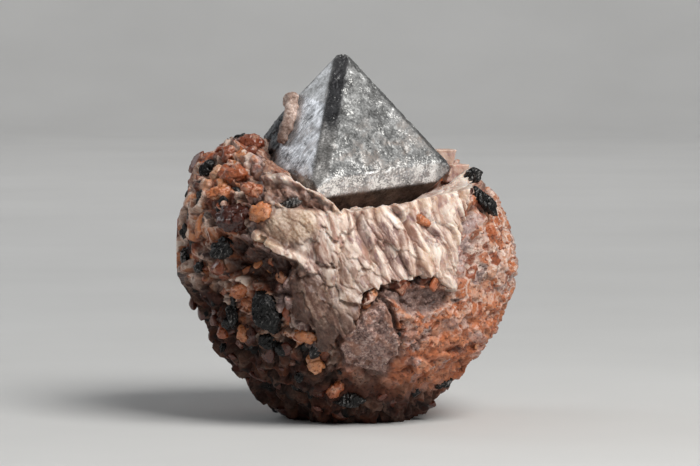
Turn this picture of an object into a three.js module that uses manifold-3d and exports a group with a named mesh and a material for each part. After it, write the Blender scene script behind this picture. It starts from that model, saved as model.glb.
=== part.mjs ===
// Franklinite in matrix: one large bevelled octahedron held by white calcite in a rounded
// body of willemite ore, with franklinite grains and willemite crystals set in its surface.
// Millimetres, +Z up, front towards -Y. The origin is under the middle, on the resting face.
import * as THREE from "three";
import { ConvexGeometry } from "three/addons/geometries/ConvexGeometry.js";
import { mergeVertices } from "three/addons/utils/BufferGeometryUtils.js";
import Module from "manifold-3d";

const wasm = await Module();
wasm.setup();

// ---- driving dimensions -------------------------------------------------------------
const GAP = 0.3; // clearance between neighbouring pieces
const BODY_CENTRE = new THREE.Vector3(0, 0, 31);
const BODY_DETAIL = 12; // subdivision of the body's icosahedron
const BODY_CRISPNESS = 36; // how sharply one broken face of the body turns into the next
const CHIPS = { count: 90, seed: 7, shallowest: 0.3, deepest: 1.8 }; // flats that break its edges
const SURVEY_POINTS = 2000; // points that find the body's outermost point on each chip's side
const OUTSIDE = 60; // farther from the middle than any point of the body
const SIGHT_DIP = 4; // degrees: grains are placed along lines that dip this much to the back

const CRYSTAL_CENTRE = new THREE.Vector3(-1.4, 1, 55.9);
const CRYSTAL_HALF_AXIS = 26.4; // centre to an unbevelled corner of the octahedron
const CRYSTAL_TILT = { lean: 10.3, roll: 0.9, turn: -11.4 }; // degrees about X, Y and Z

// The broken faces that bound the body: turn is the compass angle from the front towards
// +X, lift the angle above the horizontal, reach the distance from the body's centre.
const BROKEN_FACES = [
  { face: "right", turn: 90, lift: 0, reach: 38.4 },
  { face: "right upper", turn: 90, lift: 23.5, reach: 37.6 },
  { face: "right shoulder", turn: 90, lift: 50, reach: 36.4 },
  { face: "right lower", turn: 90, lift: -20, reach: 35.4 },
  { face: "right foot", turn: 90, lift: -46, reach: 33.4 },
  { face: "left", turn: -90, lift: 2, reach: 39.6 },
  { face: "left upper", turn: -90, lift: 20, reach: 40.8 },
  { face: "left shoulder", turn: -90, lift: 52, reach: 41.8 },
  { face: "left lower", turn: -90, lift: -25, reach: 32.9 },
  { face: "left foot", turn: -90, lift: -46, reach: 33.4 },
  { face: "top", turn: 90, lift: 84, reach: 29.2 },
  { face: "front upper", turn: 8, lift: 12, reach: 31.6 },
  { face: "front right", turn: 38, lift: -14, reach: 33.2 },
  { face: "front left", turn: -38, lift: -16, reach: 31.6 },
  { face: "front foot", turn: 3, lift: -40, reach: 30.6 },
  { face: "front right side", turn: 64, lift: 14, reach: 37.0 },
  { face: "front left side", turn: -64, lift: 2, reach: 37.4 },
  { face: "front left shoulder", turn: -50, lift: 46, reach: 39.2 },
  { face: "front left foot", turn: -52, lift: -45, reach: 31.2 },
  { face: "front right foot", turn: 50, lift: -44, reach: 32.4 },
  { face: "back", turn: 180, lift: 0, reach: 31.8 },
  { face: "back upper", turn: 180, lift: 42, reach: 34.0 },
  { face: "back foot", turn: 180, lift: -42, reach: 30.4 },
  { face: "back left", turn: -132, lift: 4, reach: 35.0 },
  { face: "back left upper", turn: -124, lift: 44, reach: 39.2 },
  { face: "back left foot", turn: -122, lift: -42, reach: 32.2 },
  { face: "back right", turn: 130, lift: -6, reach: 34.8 },
  { face: "back right upper", turn: 126, lift: 42, reach: 37.0 },
  { face: "back right foot", turn: 118, lift: -42, reach: 33.2 },
  { face: "underside", turn: 0, lift: -90, reach: 32.2 },
];

// The notch that the crystal stands in, open to the front: a ledge that climbs a little to
// the right, and left of it a slope climbing to the left. It fades out beside its two turns.
const NOTCH = {
  ledge: { turn: -90, lift: 79.5, through: [0, 0, 46.8] },
  slope: { turn: 90, lift: 60.5, through: [-15.2, 0, 56.0] },
  from: -70,
  to: 62,
  fade: 14,
};

// Outline of the calcite, across (x) and up (z), and how far it runs into the body.
const CALCITE_OUTLINE = [
  [-18.5, 56], [-20, 42], [-18, 38.5], [-13.5, 36], [-13, 22.5], [-5, 15.5],
  [-1.5, 19], [3, 23.5], [7, 29.5], [11, 30], [18.5, 31], [22.5, 28],
  [24, 36], [26, 44.5], [28.5, 54], [28.5, 64], [-18.5, 64],
];
const CALCITE_BACK = -9; // y of its back, inside the ore
const CALCITE_PROUD = 0.8; // how far it stands out of the ore

// ---- shared geometry ----------------------------------------------------------------
const radians = THREE.MathUtils.degToRad;
const SAME_POINT = 1e-4; // vertices closer than this are one

function towards(turn, lift) {
  const level = Math.cos(radians(lift));
  return new THREE.Vector3(
    Math.sin(radians(turn)) * level,
    -Math.cos(radians(turn)) * level,
    Math.sin(radians(lift)),
  );
}

function seededRandom(seed) {
  let state = seed;
  return () => {
    state = (state * 1664525 + 1013904223) % 4294967296;
    return state / 4294967296;
  };
}

function toSolid(geometry) {
  const plain = geometry.clone();
  plain.deleteAttribute("normal");
  plain.deleteAttribute("uv");
  const merged = mergeVertices(plain, SAME_POINT);
  const mesh = new wasm.Mesh({
    numProp: 3,
    vertProperties: merged.attributes.position.array,
    triVerts: new Uint32Array(merged.index.array),
  });
  return new wasm.Manifold(mesh);
}

function toGeometry(solid) {
  const mesh = solid.getMesh();
  const geometry = new THREE.BufferGeometry();
  geometry.setAttribute("position", new THREE.BufferAttribute(mesh.vertProperties, 3));
  geometry.setIndex(new THREE.BufferAttribute(mesh.triVerts, 1));
  const faceted = geometry.toNonIndexed();
  faceted.computeVertexNormals();
  return faceted;
}

// ---- the body -----------------------------------------------------------------------
const brokenFaces = BROKEN_FACES.map((f) => ({ normal: towards(f.turn, f.lift), reach: f.reach }));
const notchFaces = [NOTCH.ledge, NOTCH.slope].map(({ turn, lift, through }) => {
  const normal = towards(turn, lift);
  return { normal, reach: normal.dot(new THREE.Vector3(...through).sub(BODY_CENTRE)) };
});

// Distance from the body's centre to its broken faces along a unit direction.
function brokenReach(direction) {
  let sum = 0;
  for (const face of brokenFaces) {
    sum += Math.max(0, direction.dot(face.normal) / face.reach) ** BODY_CRISPNESS;
  }
  return sum ** (-1 / BODY_CRISPNESS);
}

// Points spread evenly over the broken faces.
function surveyBody(count) {
  const goldenAngle = 180 * (3 - Math.sqrt(5));
  return Array.from({ length: count }, (_, i) => {
    const lift = THREE.MathUtils.radToDeg(Math.asin(1 - (2 * i + 1) / count));
    const direction = towards(i * goldenAngle, lift);
    return direction.multiplyScalar(brokenReach(direction));
  });
}

// Each chip is a plane set a little way in from the outermost point on its side.
function scatterChips({ count, seed, shallowest, deepest }) {
  const random = seededRandom(seed);
  const survey = surveyBody(SURVEY_POINTS);
  const chips = [];
  for (let i = 0; i < count; i++) {
    const lift = THREE.MathUtils.radToDeg(Math.asin(2 * random() - 1));
    const normal = towards(360 * random(), lift);
    const outermost = Math.max(...survey.map((point) => point.dot(normal)));
    chips.push({ normal, reach: outermost - THREE.MathUtils.lerp(shallowest, deepest, random()) });
  }
  return chips;
}
const chips = scatterChips(CHIPS);

// How strongly the notch cuts in a direction: 1 between its two turns, fading out beside them.
function notchShare(direction) {
  const turn = THREE.MathUtils.radToDeg(Math.atan2(direction.x, -direction.y));
  const inside = Math.min(turn - NOTCH.from, NOTCH.to - turn);
  return THREE.MathUtils.smoothstep(inside, -NOTCH.fade, 0);
}

function notchReach(direction) {
  const reaches = notchFaces.map(({ normal, reach }) => {
    const rising = direction.dot(normal);
    return rising > 0 ? reach / rising : Infinity;
  });
  return Math.max(...reaches);
}

// Distance from the body's centre to its surface along a unit direction.
function bodyReach(direction) {
  let reach = brokenReach(direction);
  for (const chip of chips) {
    const rising = direction.dot(chip.normal);
    if (rising > 0) reach = Math.min(reach, chip.reach / rising);
  }
  const notched = Math.min(reach, notchReach(direction));
  return THREE.MathUtils.lerp(reach, notched, notchShare(direction));
}

function bodySolid(grow) {
  const geometry = new THREE.IcosahedronGeometry(1, BODY_DETAIL);
  const position = geometry.attributes.position;
  const point = new THREE.Vector3();
  for (let i = 0; i < position.count; i++) {
    point.fromBufferAttribute(position, i).normalize();
    point.multiplyScalar(bodyReach(point) + grow).add(BODY_CENTRE);
    position.setXYZ(i, point.x, point.y, Math.max(0, point.z));
  }
  return toSolid(geometry);
}

// Where a line that dips to the back, set by across and rise, first meets the body.
function seatOnBody(across, rise) {
  const dip = radians(SIGHT_DIP);
  const along = new THREE.Vector3(0, Math.cos(dip), -Math.sin(dip));
  const up = new THREE.Vector3(0, Math.sin(dip), Math.cos(dip));
  const point = up.clone().multiplyScalar(rise).addScaledVector(along, -OUTSIDE);
  point.x = across;
  const step = 0.1;
  for (let run = 0; run < 2 * OUTSIDE; run += step) {
    const offset = point.clone().sub(BODY_CENTRE);
    if (offset.length() <= bodyReach(offset.clone().normalize())) return point;
    point.addScaledVector(along, step);
  }
  throw new Error(`no surface at ${across}, ${rise}`);
}

// ---- the octahedron -----------------------------------------------------------------
// Planes that cut the octahedron's edges and corners, by their normals in the crystal's own
// axes: +Z is the apex, +X the right corner, -Y the front corner. Depth is measured inwards
// from the edge or corner that the plane cuts off.
const CRYSTAL_CUTS = [
  { normal: [0, -1, 1], depth: 1.25 }, // front edge, from the apex down
  { normal: [1, -1, 0], depth: 1.55 }, // front right girdle edge
  { normal: [1, 0, 1], depth: 0.6 },
  { normal: [-1, 0, 0.89], depth: 2.6 }, // left edge, worn down away from the apex
  { normal: [0, 1, 1], depth: 1.1 },
  { normal: [-1, -1, 0], depth: 1.2 },
  { normal: [1, 1, 0], depth: 1.3 },
  { normal: [-1, 1, 0], depth: 1.2 },
  { normal: [0, -1, -1], depth: 1.0 },
  { normal: [0, 1, -1], depth: 1.0 },
  { normal: [1, 0, -1], depth: 1.4 },
  { normal: [-1, 0, -1], depth: 1.0 },
  { normal: [0, 0, 1], depth: 1.25 }, // apex
  { normal: [1, -0.05, -0.1], depth: 1.2 }, // right corner
  { normal: [-0.833, -0.351, 0.424], depth: 6.3 }, // broken left end
];

function crystalPlanes(grow) {
  const planes = [];
  const add = (normal, reach) => {
    planes.push({ normal: new THREE.Vector3(...normal).normalize(), reach: reach + grow });
  };
  for (const x of [-1, 1]) {
    for (const y of [-1, 1]) {
      for (const z of [-1, 1]) add([x, y, z], CRYSTAL_HALF_AXIS / Math.sqrt(3));
    }
  }
  for (const { normal, depth } of CRYSTAL_CUTS) {
    const unit = new THREE.Vector3(...normal).normalize();
    const uncut = CRYSTAL_HALF_AXIS * Math.max(...unit.toArray().map(Math.abs));
    add(normal, uncut - depth);
  }
  return planes;
}

// The convex solid inside a set of planes, from the corners where three of them meet.
function solidInside(planes) {
  const corners = [];
  const tolerance = 1e-6;
  for (let i = 0; i < planes.length; i++) {
    for (let j = i + 1; j < planes.length; j++) {
      for (let k = j + 1; k < planes.length; k++) {
        const [a, b, c] = [planes[i], planes[j], planes[k]];
        const cross = new THREE.Vector3().crossVectors(b.normal, c.normal);
        const spread = a.normal.dot(cross);
        if (Math.abs(spread) < tolerance) continue;
        const corner = cross
          .multiplyScalar(a.reach)
          .add(new THREE.Vector3().crossVectors(c.normal, a.normal).multiplyScalar(b.reach))
          .add(new THREE.Vector3().crossVectors(a.normal, b.normal).multiplyScalar(c.reach))
          .divideScalar(spread);
        if (planes.every((p) => corner.dot(p.normal) <= p.reach + tolerance)) corners.push(corner);
      }
    }
  }
  return new ConvexGeometry(corners);
}

function crystalSolid(grow) {
  const tilt = new THREE.Euler(
    radians(CRYSTAL_TILT.lean),
    radians(CRYSTAL_TILT.roll),
    radians(CRYSTAL_TILT.turn),
  );
  const place = new THREE.Matrix4().makeRotationFromEuler(tilt).setPosition(CRYSTAL_CENTRE);
  return toSolid(solidInside(crystalPlanes(grow)).applyMatrix4(place));
}

// ---- the calcite --------------------------------------------------------------------
// The outline moved outwards by a distance, its corners kept sharp.
function widenOutline(outline, distance) {
  const points = outline.map(([x, z]) => new THREE.Vector2(x, z));
  const outward = (from, to) => {
    const along = to.clone().sub(from).normalize();
    return new THREE.Vector2(along.y, -along.x);
  };
  return points.map((point, i) => {
    const one = outward(points.at(i - 1), point);
    const other = outward(point, points[(i + 1) % points.length]);
    const mitre = one.clone().add(other).multiplyScalar(distance / (1 + one.dot(other)));
    return point.clone().add(mitre);
  });
}

function calciteColumn(grow) {
  const shape = new THREE.Shape(widenOutline(CALCITE_OUTLINE, grow));
  const column = new THREE.ExtrudeGeometry(shape, { depth: OUTSIDE, bevelEnabled: false });
  column.rotateX(Math.PI / 2); // the outline's second axis becomes +Z, its depth runs to -Y
  column.translate(0, CALCITE_BACK + grow, 0);
  return toSolid(column);
}

// ---- grains -------------------------------------------------------------------------
// Each grain: place across and up (as seen along the dipping line) or, off the front, its
// turn and lift round the body; half sizes along and across its long axis and into the body;
// spin of the long axis from upright; and the share of its depth that stands out of the body.
const FRANKLINITE_GRAINS = {
  franklinite_grain_striated: { at: [-16.9, 23.7], half: [5.2, 4.3, 3.8], spin: -22, proud: 0.55 },
  franklinite_grain_under_striated: { at: [-17.4, 17.4], half: [2.2, 2.4, 2.2], spin: 60, proud: 0.35 },
  franklinite_grain_oval: { at: [-25.2, 22.8], half: [3.2, 1.8, 2.2], spin: -8, proud: 0.4 },
  franklinite_grain_ragged: { at: [-27.0, 37.4], half: [3.2, 2.7, 2.6], spin: 60, proud: 0.4 },
  franklinite_grain_left_high: { at: [-32.1, 48.0], half: [2.3, 1.4, 1.9], spin: 10, proud: 0.4 },
  franklinite_grain_shoulder: { at: [-30.4, 54.8], half: [2.4, 1.9, 2.1], spin: 40, proud: 0.5 },
  franklinite_grain_left_bright: { at: [-34.9, 41.4], half: [2.4, 1.5, 2.1], spin: 25, proud: 0.45 },
  franklinite_grain_left_low: { at: [-35.6, 35.6], half: [1.9, 1.3, 1.7], spin: 0, proud: 0.45 },
  franklinite_grain_left_small: { at: [-32.2, 33.4], half: [1.5, 1.2, 1.5], spin: 30, proud: 0.4 },
  franklinite_grain_by_ridge: { at: [-12.0, 47.2], half: [2.5, 1.4, 2.0], spin: 82, proud: 0.45 },
  franklinite_grain_upper_right: { at: [26.6, 52.4], half: [2.3, 2.0, 2.2], spin: 70, proud: 0.75 },
  franklinite_grain_long_right: { at: [29.4, 47.2], half: [4.3, 2.1, 2.2], spin: -38, proud: 0.65 },
  franklinite_grain_right_foot: { at: [21.4, 7.6], half: [2.1, 1.4, 1.7], spin: 60, proud: 0.4 },
  franklinite_grain_foot: { at: [0.6, 4.4], half: [3.8, 2.1, 2.6], spin: 86, proud: 0.5 },
  franklinite_grain_left_foot: { at: [-27.2, 15.6], half: [1.3, 1.1, 1.4], spin: 20, proud: 0.4 },
  franklinite_grain_low_front: { at: [-10.2, 9.8], half: [2.0, 1.4, 1.7], spin: 10, proud: 0.35 },
  franklinite_grain_back_high: { round: [152, 30], half: [4.4, 3.2, 3.0], spin: 25, proud: 0.5 },
  franklinite_grain_back_left: { round: [-140, 2], half: [3.4, 2.6, 2.4], spin: -40, proud: 0.45 },
  franklinite_grain_back_low: { round: [170, -24], half: [2.8, 2.2, 2.2], spin: 70, proud: 0.4 },
  franklinite_grain_right_back: { round: [112, -8], half: [2.6, 1.9, 2.0], spin: 15, proud: 0.45 },
};
const WILLEMITE_CRYSTALS = {
  willemite_crystal_peak: { at: [-21.2, 60.0], half: [3.5, 2.2, 2.8], spin: 84, proud: 0.55 },
  willemite_crystal_second: { at: [-25.7, 57.6], half: [2.3, 1.9, 2.3], spin: 20, proud: 0.5 },
  willemite_crystal_pale: { at: [-28.4, 53.6], half: [2.3, 1.4, 1.9], spin: 32, proud: 0.45 },
  willemite_crystal_third: { at: [-24.0, 53.2], half: [3.0, 2.3, 2.4], spin: 75, proud: 0.5 },
  willemite_crystal_orange: { at: [-27.6, 49.4], half: [3.1, 1.8, 2.2], spin: 76, proud: 0.5 },
  willemite_crystal_ridge: { at: [-20.2, 50.0], half: [2.9, 1.9, 2.2], spin: -68, proud: 0.45 },
  willemite_crystal_big_red: { at: [-24.6, 44.0], half: [4.2, 3.5, 3.4], spin: 80, proud: 0.4 },
  willemite_crystal_bright_end: { at: [-18.6, 45.2], half: [2.8, 2.3, 2.6], spin: 70, proud: 0.4 },
  willemite_crystal_long_amber: { at: [-31.7, 42.6], half: [3.3, 1.1, 1.7], spin: 16, proud: 0.45 },
  willemite_crystal_left_mid: { at: [-23.2, 28.2], half: [2.6, 1.9, 2.2], spin: 60, proud: 0.45 },
  willemite_crystal_left_low: { at: [-22.4, 18.9], half: [2.2, 2.0, 2.2], spin: 0, proud: 0.4 },
  willemite_crystal_left_edge: { at: [-27.1, 19.2], half: [1.8, 1.6, 1.9], spin: 15, proud: 0.4 },
  willemite_crystal_amber: { at: [-6.8, 12.6], half: [2.8, 2.2, 2.4], spin: -10, proud: 0.45 },
  willemite_crystal_amber_small: { at: [-8.8, 18.5], half: [2.7, 1.7, 2.0], spin: -78, proud: 0.45 },
  willemite_crystal_foot: { at: [-2.6, 6.6], half: [2.3, 1.8, 2.0], spin: 40, proud: 0.4 },
  willemite_crystal_right: { at: [31.2, 40.8], half: [2.6, 2.2, 2.3], spin: -20, proud: 0.35 },
  willemite_crystal_in_calcite: { at: [16.2, 43.2], half: [2.0, 1.5, 1.7], spin: -60, proud: 0.4 },
  willemite_crystal_back_middle: { round: [178, 8], half: [4.2, 2.9, 2.8], spin: 60, proud: 0.5 },
  willemite_crystal_back_right: { round: [128, 8], half: [3.0, 2.2, 2.2], spin: -25, proud: 0.45 },
  willemite_crystal_left_back: { round: [-112, 18], half: [3.2, 2.4, 2.3], spin: 30, proud: 0.45 },
  willemite_crystal_back_left: { round: [-152, -20], half: [2.7, 2.1, 2.1], spin: 80, proud: 0.4 },
};

// A rounded, many-faced pebble of half sizes 1, with its corners nudged by the seed.
function pebblePoints(seed, rings) {
  const random = seededRandom(seed);
  const points = [];
  for (const { lift, count, radius } of rings) {
    const start = random() * 360;
    for (let i = 0; i < count; i++) {
      const turn = start + ((i + 0.5 * random()) * 360) / count;
      points.push(towards(turn, lift).multiplyScalar(radius * (0.92 + 0.08 * random())));
    }
  }
  return points;
}
// Franklinite grains are worn octahedra, willemite crystals stubby blunt-ended prisms.
const WORN_OCTAHEDRON = [
  { lift: 78, count: 3, radius: 1 },
  { lift: 25, count: 4, radius: 0.95 },
  { lift: -25, count: 4, radius: 0.95 },
  { lift: -78, count: 3, radius: 1 },
];
const BLUNT_PRISM = [
  { lift: 66, count: 4, radius: 1 },
  { lift: 28, count: 6, radius: 0.98 },
  { lift: -28, count: 6, radius: 0.98 },
  { lift: -66, count: 4, radius: 1 },
];

function seatOf({ at, round }) {
  if (at) return { seat: seatOnBody(...at), facing: 0 };
  const direction = towards(...round);
  const seat = direction.clone().multiplyScalar(bodyReach(direction)).add(BODY_CENTRE);
  return { seat, facing: round[0] };
}

function grainSolid(grain, rings, seed, grow) {
  const [long, wide, deep] = grain.half;
  const { seat, facing } = seatOf(grain);
  const inwards = BODY_CENTRE.clone().sub(seat).normalize();
  const centre = seat.addScaledVector(inwards, deep * (1 - 2 * grain.proud));
  const place = new THREE.Matrix4()
    .makeTranslation(centre)
    .multiply(new THREE.Matrix4().makeRotationZ(radians(facing)))
    .multiply(new THREE.Matrix4().makeRotationY(radians(grain.spin)))
    .multiply(new THREE.Matrix4().makeScale(wide + grow, deep + grow, long + grow));
  return toSolid(new ConvexGeometry(pebblePoints(seed, rings)).applyMatrix4(place));
}

// ---- small calcite pieces -----------------------------------------------------------
// The crust is a string of flattened lumps down the broken edge of the crystal's left face.
const CRUST_LUMPS = [
  { at: [-11.9, -1.5, 69.9], half: [2.2, 2.1, 1.9] },
  { at: [-11.8, -3.2, 67.8], half: [1.8, 1.9, 2.0] },
  { at: [-12.1, -4.8, 65.7], half: [1.6, 1.8, 2.0] },
  { at: [-12.9, -5.8, 63.8], half: [1.6, 1.8, 1.9] },
  { at: [-13.7, -6.6, 62.1], half: [1.4, 1.6, 1.7] },
];

const CRUST_SEED = 40;

function crustSolid() {
  let crust = null;
  CRUST_LUMPS.forEach(({ at, half }, i) => {
    const lump = new ConvexGeometry(pebblePoints(CRUST_SEED + i, BLUNT_PRISM));
    lump.scale(...half).translate(...at);
    const solid = toSolid(lump);
    crust = crust ? crust.add(solid) : solid;
  });
  return crust.subtract(crystalSolid(GAP)).subtract(bodySolid(CALCITE_PROUD + GAP));
}

// Cleavage plates: slabs with slanted ends, standing behind the crystal's right corner.
const PLATES = {
  calcite_plate_upper: { at: [20.6, 3.5, 57.0], half: [2.6, 2.6, 1.9], turn: 12, slant: 0.25 },
  calcite_plate_lower: { at: [23.6, 1.0, 53.9], half: [2.1, 2.4, 1.9], turn: 20, slant: 0.35 },
};

function plateSolid({ at, half, turn, slant }, grow) {
  const [long, deep, tall] = half.map((size) => size + grow);
  const outline = new THREE.Shape([
    new THREE.Vector2(-long - slant * tall, -tall),
    new THREE.Vector2(long - slant * tall, -tall),
    new THREE.Vector2(long + slant * tall, tall),
    new THREE.Vector2(-long + slant * tall, tall),
  ]);
  const slab = new THREE.ExtrudeGeometry(outline, { depth: 2 * deep, bevelEnabled: false });
  slab.translate(0, 0, -deep).rotateX(Math.PI / 2).rotateZ(radians(turn)).translate(...at);
  return toSolid(slab);
}

// ---- assembly -----------------------------------------------------------------------
const FINISHES = {
  franklinite: new THREE.MeshStandardMaterial({ color: 0x6f7276, roughness: 0.42, metalness: 0.9 }),
  blackFranklinite: new THREE.MeshStandardMaterial({ color: 0x1b1d1f, roughness: 0.3, metalness: 0.7 }),
  ore: new THREE.MeshStandardMaterial({ color: 0xa9674a, roughness: 0.7, metalness: 0 }),
  calcite: new THREE.MeshStandardMaterial({ color: 0xdccabb, roughness: 0.5, metalness: 0 }),
  crust: new THREE.MeshStandardMaterial({ color: 0x9c7763, roughness: 0.6, metalness: 0 }),
  willemite: new THREE.MeshStandardMaterial({ color: 0xa2502c, roughness: 0.35, metalness: 0 }),
};

const specimen = new THREE.Group();

function addPiece(name, solid, material) {
  const mesh = new THREE.Mesh(toGeometry(solid), material);
  mesh.name = name;
  specimen.add(mesh);
}

const crystalSocket = crystalSolid(GAP);
let ore = bodySolid(0).subtract(calciteColumn(GAP)).subtract(crystalSocket);
let calcite = bodySolid(CALCITE_PROUD).intersect(calciteColumn(0)).subtract(crystalSocket);

let taken = crystalSocket; // the sockets of the pieces set so far

// Sets a piece in its own socket, through whichever masses it reaches, clear of the pieces
// that are there already.
function embed(name, piece, socket, material) {
  ore = ore.subtract(socket);
  calcite = calcite.subtract(socket);
  addPiece(name, piece.subtract(taken), material);
  taken = taken.add(socket);
}

const families = [
  { grains: FRANKLINITE_GRAINS, rings: WORN_OCTAHEDRON, material: FINISHES.blackFranklinite },
  { grains: WILLEMITE_CRYSTALS, rings: BLUNT_PRISM, material: FINISHES.willemite },
];
let seed = 1;
for (const { grains, rings, material } of families) {
  for (const [name, grain] of Object.entries(grains)) {
    seed += 1;
    embed(name, grainSolid(grain, rings, seed, 0), grainSolid(grain, rings, seed, GAP), material);
  }
}
for (const [name, plate] of Object.entries(PLATES)) {
  embed(name, plateSolid(plate, 0), plateSolid(plate, GAP), FINISHES.calcite);
}
addPiece("franklinite_crystal", crystalSolid(0), FINISHES.franklinite);
addPiece("calcite_crust", crustSolid(), FINISHES.crust);
addPiece("calcite_bed", calcite, FINISHES.calcite);
addPiece("ore_matrix", ore, FINISHES.ore);

export default specimen;
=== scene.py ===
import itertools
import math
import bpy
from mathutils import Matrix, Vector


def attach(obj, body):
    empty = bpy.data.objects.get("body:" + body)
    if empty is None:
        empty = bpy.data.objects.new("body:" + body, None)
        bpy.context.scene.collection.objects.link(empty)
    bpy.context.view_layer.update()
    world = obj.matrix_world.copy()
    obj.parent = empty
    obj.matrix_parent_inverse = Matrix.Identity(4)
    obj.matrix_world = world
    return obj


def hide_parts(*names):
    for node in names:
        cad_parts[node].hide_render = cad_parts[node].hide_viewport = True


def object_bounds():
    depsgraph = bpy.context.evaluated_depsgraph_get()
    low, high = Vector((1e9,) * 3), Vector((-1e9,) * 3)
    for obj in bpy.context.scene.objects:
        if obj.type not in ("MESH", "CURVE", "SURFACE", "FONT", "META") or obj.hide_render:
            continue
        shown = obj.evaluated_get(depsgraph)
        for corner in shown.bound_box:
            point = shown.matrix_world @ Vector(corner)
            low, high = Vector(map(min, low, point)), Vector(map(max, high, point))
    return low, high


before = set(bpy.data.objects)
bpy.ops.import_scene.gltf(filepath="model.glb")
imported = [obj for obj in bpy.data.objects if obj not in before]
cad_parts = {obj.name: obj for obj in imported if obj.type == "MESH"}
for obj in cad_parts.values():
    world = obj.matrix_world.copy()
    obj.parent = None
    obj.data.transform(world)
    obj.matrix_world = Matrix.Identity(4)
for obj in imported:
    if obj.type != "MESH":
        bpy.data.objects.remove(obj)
CAD_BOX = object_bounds()

# Franklinite in matrix: the looks. Lengths below are millimetres unless a name says metres;
# every mesh is scaled to metres as it is made. The front of the specimen faces -Y.
from types import SimpleNamespace

import bmesh
import bpy
import numpy as np
from mathutils import Matrix, Vector
from mathutils.bvhtree import BVHTree

METRES = 0.001  # one millimetre
BODY = "root"

# ---- the shape that part.mjs gives the body and the crystal
BODY_CENTRE = np.array([0.0, 0.0, 31.0])
BODY_CRISPNESS = 36
BROKEN_FACES = [  # turn from the front towards +X, lift above the horizontal, reach
    (90, 0, 38.4), (90, 23.5, 37.6), (90, 50, 36.4), (90, -20, 35.4), (90, -46, 33.4),
    (-90, 2, 39.6), (-90, 20, 40.8), (-90, 52, 41.8), (-90, -25, 32.9), (-90, -46, 33.4),
    (90, 84, 29.2), (8, 12, 31.6), (38, -14, 33.2), (-38, -16, 31.6), (3, -40, 30.6),
    (64, 14, 37.0), (-64, 2, 37.4), (-50, 46, 39.2), (-52, -45, 31.2), (50, -44, 32.4),
    (180, 0, 31.8), (180, 42, 34.0), (180, -42, 30.4), (-132, 4, 35.0), (-124, 44, 39.2),
    (-122, -42, 32.2), (130, -6, 34.8), (126, 42, 37.0), (118, -42, 33.2), (0, -90, 32.2),
]
CHIP_COUNT, CHIP_SEED = 90, 7
CHIP_DEPTHS = (0.3, 1.8)
SURVEY_POINTS = 2000
NOTCH_PLANES = [(-90, 79.5, (0, 0, 46.8)), (90, 60.5, (-15.2, 0, 56.0))]
NOTCH_FROM, NOTCH_TO, NOTCH_FADE = -70, 62, 14
CALCITE_OUTLINE = [
    (-18.5, 56), (-20, 42), (-18, 38.5), (-13.5, 36), (-13, 22.5), (-5, 15.5), (-1.5, 19),
    (3, 23.5), (7, 29.5), (11, 30), (18.5, 31), (22.5, 28), (24, 36), (26, 44.5), (27.2, 54),
    (27.2, 64), (-18.5, 64),
]
CRYSTAL_CENTRE = np.array([-1.4, 1.0, 55.9])
CRYSTAL_HALF_AXIS = 26.4
CRYSTAL_TILT = (10.3, 0.9, -11.4)  # degrees about X, Y and Z

# ---- the camera
SIGHT_LIFT = 4.0  # degrees above the horizon
SIGHT_TARGET = np.array([0.66, 0.0, 40.7])
SIGHT_DISTANCE = 1000.0
LENS = 233.8
SENSOR = 36.0


# ---- vectors and noise
def towards(turn, lift):
    turn, lift = np.radians(turn), np.radians(lift)
    level = np.cos(lift)
    return columns(np.sin(turn) * level, -np.cos(turn) * level, np.sin(lift))


def smoothstep(value, low, high):
    share = np.clip((value - low) / (high - low), 0.0, 1.0)
    return share * share * (3 - 2 * share)


def mix(a, b, share):
    return a + (b - a) * share


def unit(vectors):
    return vectors / np.linalg.norm(vectors, axis=-1, keepdims=True)


def columns(*values):
    return np.stack(values, axis=-1)


def seeded_random(seed):
    """The same draws as the CAD source makes."""
    state = seed
    while True:
        state = (state * 1664525 + 1013904223) % 4294967296
        yield state / 4294967296


def cell_random(cell, salt):
    """A number from 0 to 1 for each whole-number cell."""
    x, y, z = (cell[..., i].astype(np.int64).astype(np.uint32) for i in range(3))
    mixed = x * np.uint32(0x9E3779B1)
    mixed ^= y * np.uint32(0x85EBCA77)
    mixed ^= z * np.uint32(0xC2B2AE3D)
    mixed ^= np.uint32((salt * 0x27D4EB2F) & 0xFFFFFFFF)
    for shift, factor in ((15, 0x2C1B3C6D), (12, 0x297A2D39), (15, 0x9E3779B1)):
        mixed ^= mixed >> np.uint32(shift)
        mixed *= np.uint32(factor)
    mixed ^= mixed >> np.uint32(16)
    return mixed / 4294967296.0


def noise(points, size, salt):
    """Smooth noise from -1 to 1 whose lumps are about size across."""
    place = points / size
    low = np.floor(place)
    part = place - low
    part = part * part * (3 - 2 * part)
    total = np.zeros(len(points))
    for corner in itertools.product((0, 1), repeat=3):
        corner = np.array(corner)
        weight = np.prod(np.where(corner == 1, part, 1 - part), axis=1)
        total += weight * cell_random(low + corner, salt)
    return 2 * total - 1


def fractal(points, size, salt, octaves=4, rough=0.5):
    total, strength, whole = 0.0, 1.0, 0.0
    for octave in range(octaves):
        total = total + strength * noise(points, size / 2**octave, salt + octave)
        whole += strength
        strength *= rough
    return total / whole


def fractal_vector(points, size, salt):
    """Its own fractal noise for each axis."""
    return columns(*(fractal(points, size, salt + 5 * axis, 3) for axis in range(3)))


def warped(points, size, amount, salt):
    """Points pushed about by noise."""
    return points + amount * columns(*(noise(points, size, salt + axis) for axis in range(3)))


def cell_vector(cell, salt):
    return columns(*(cell_random(cell, salt + axis) for axis in range(3)))


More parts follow.
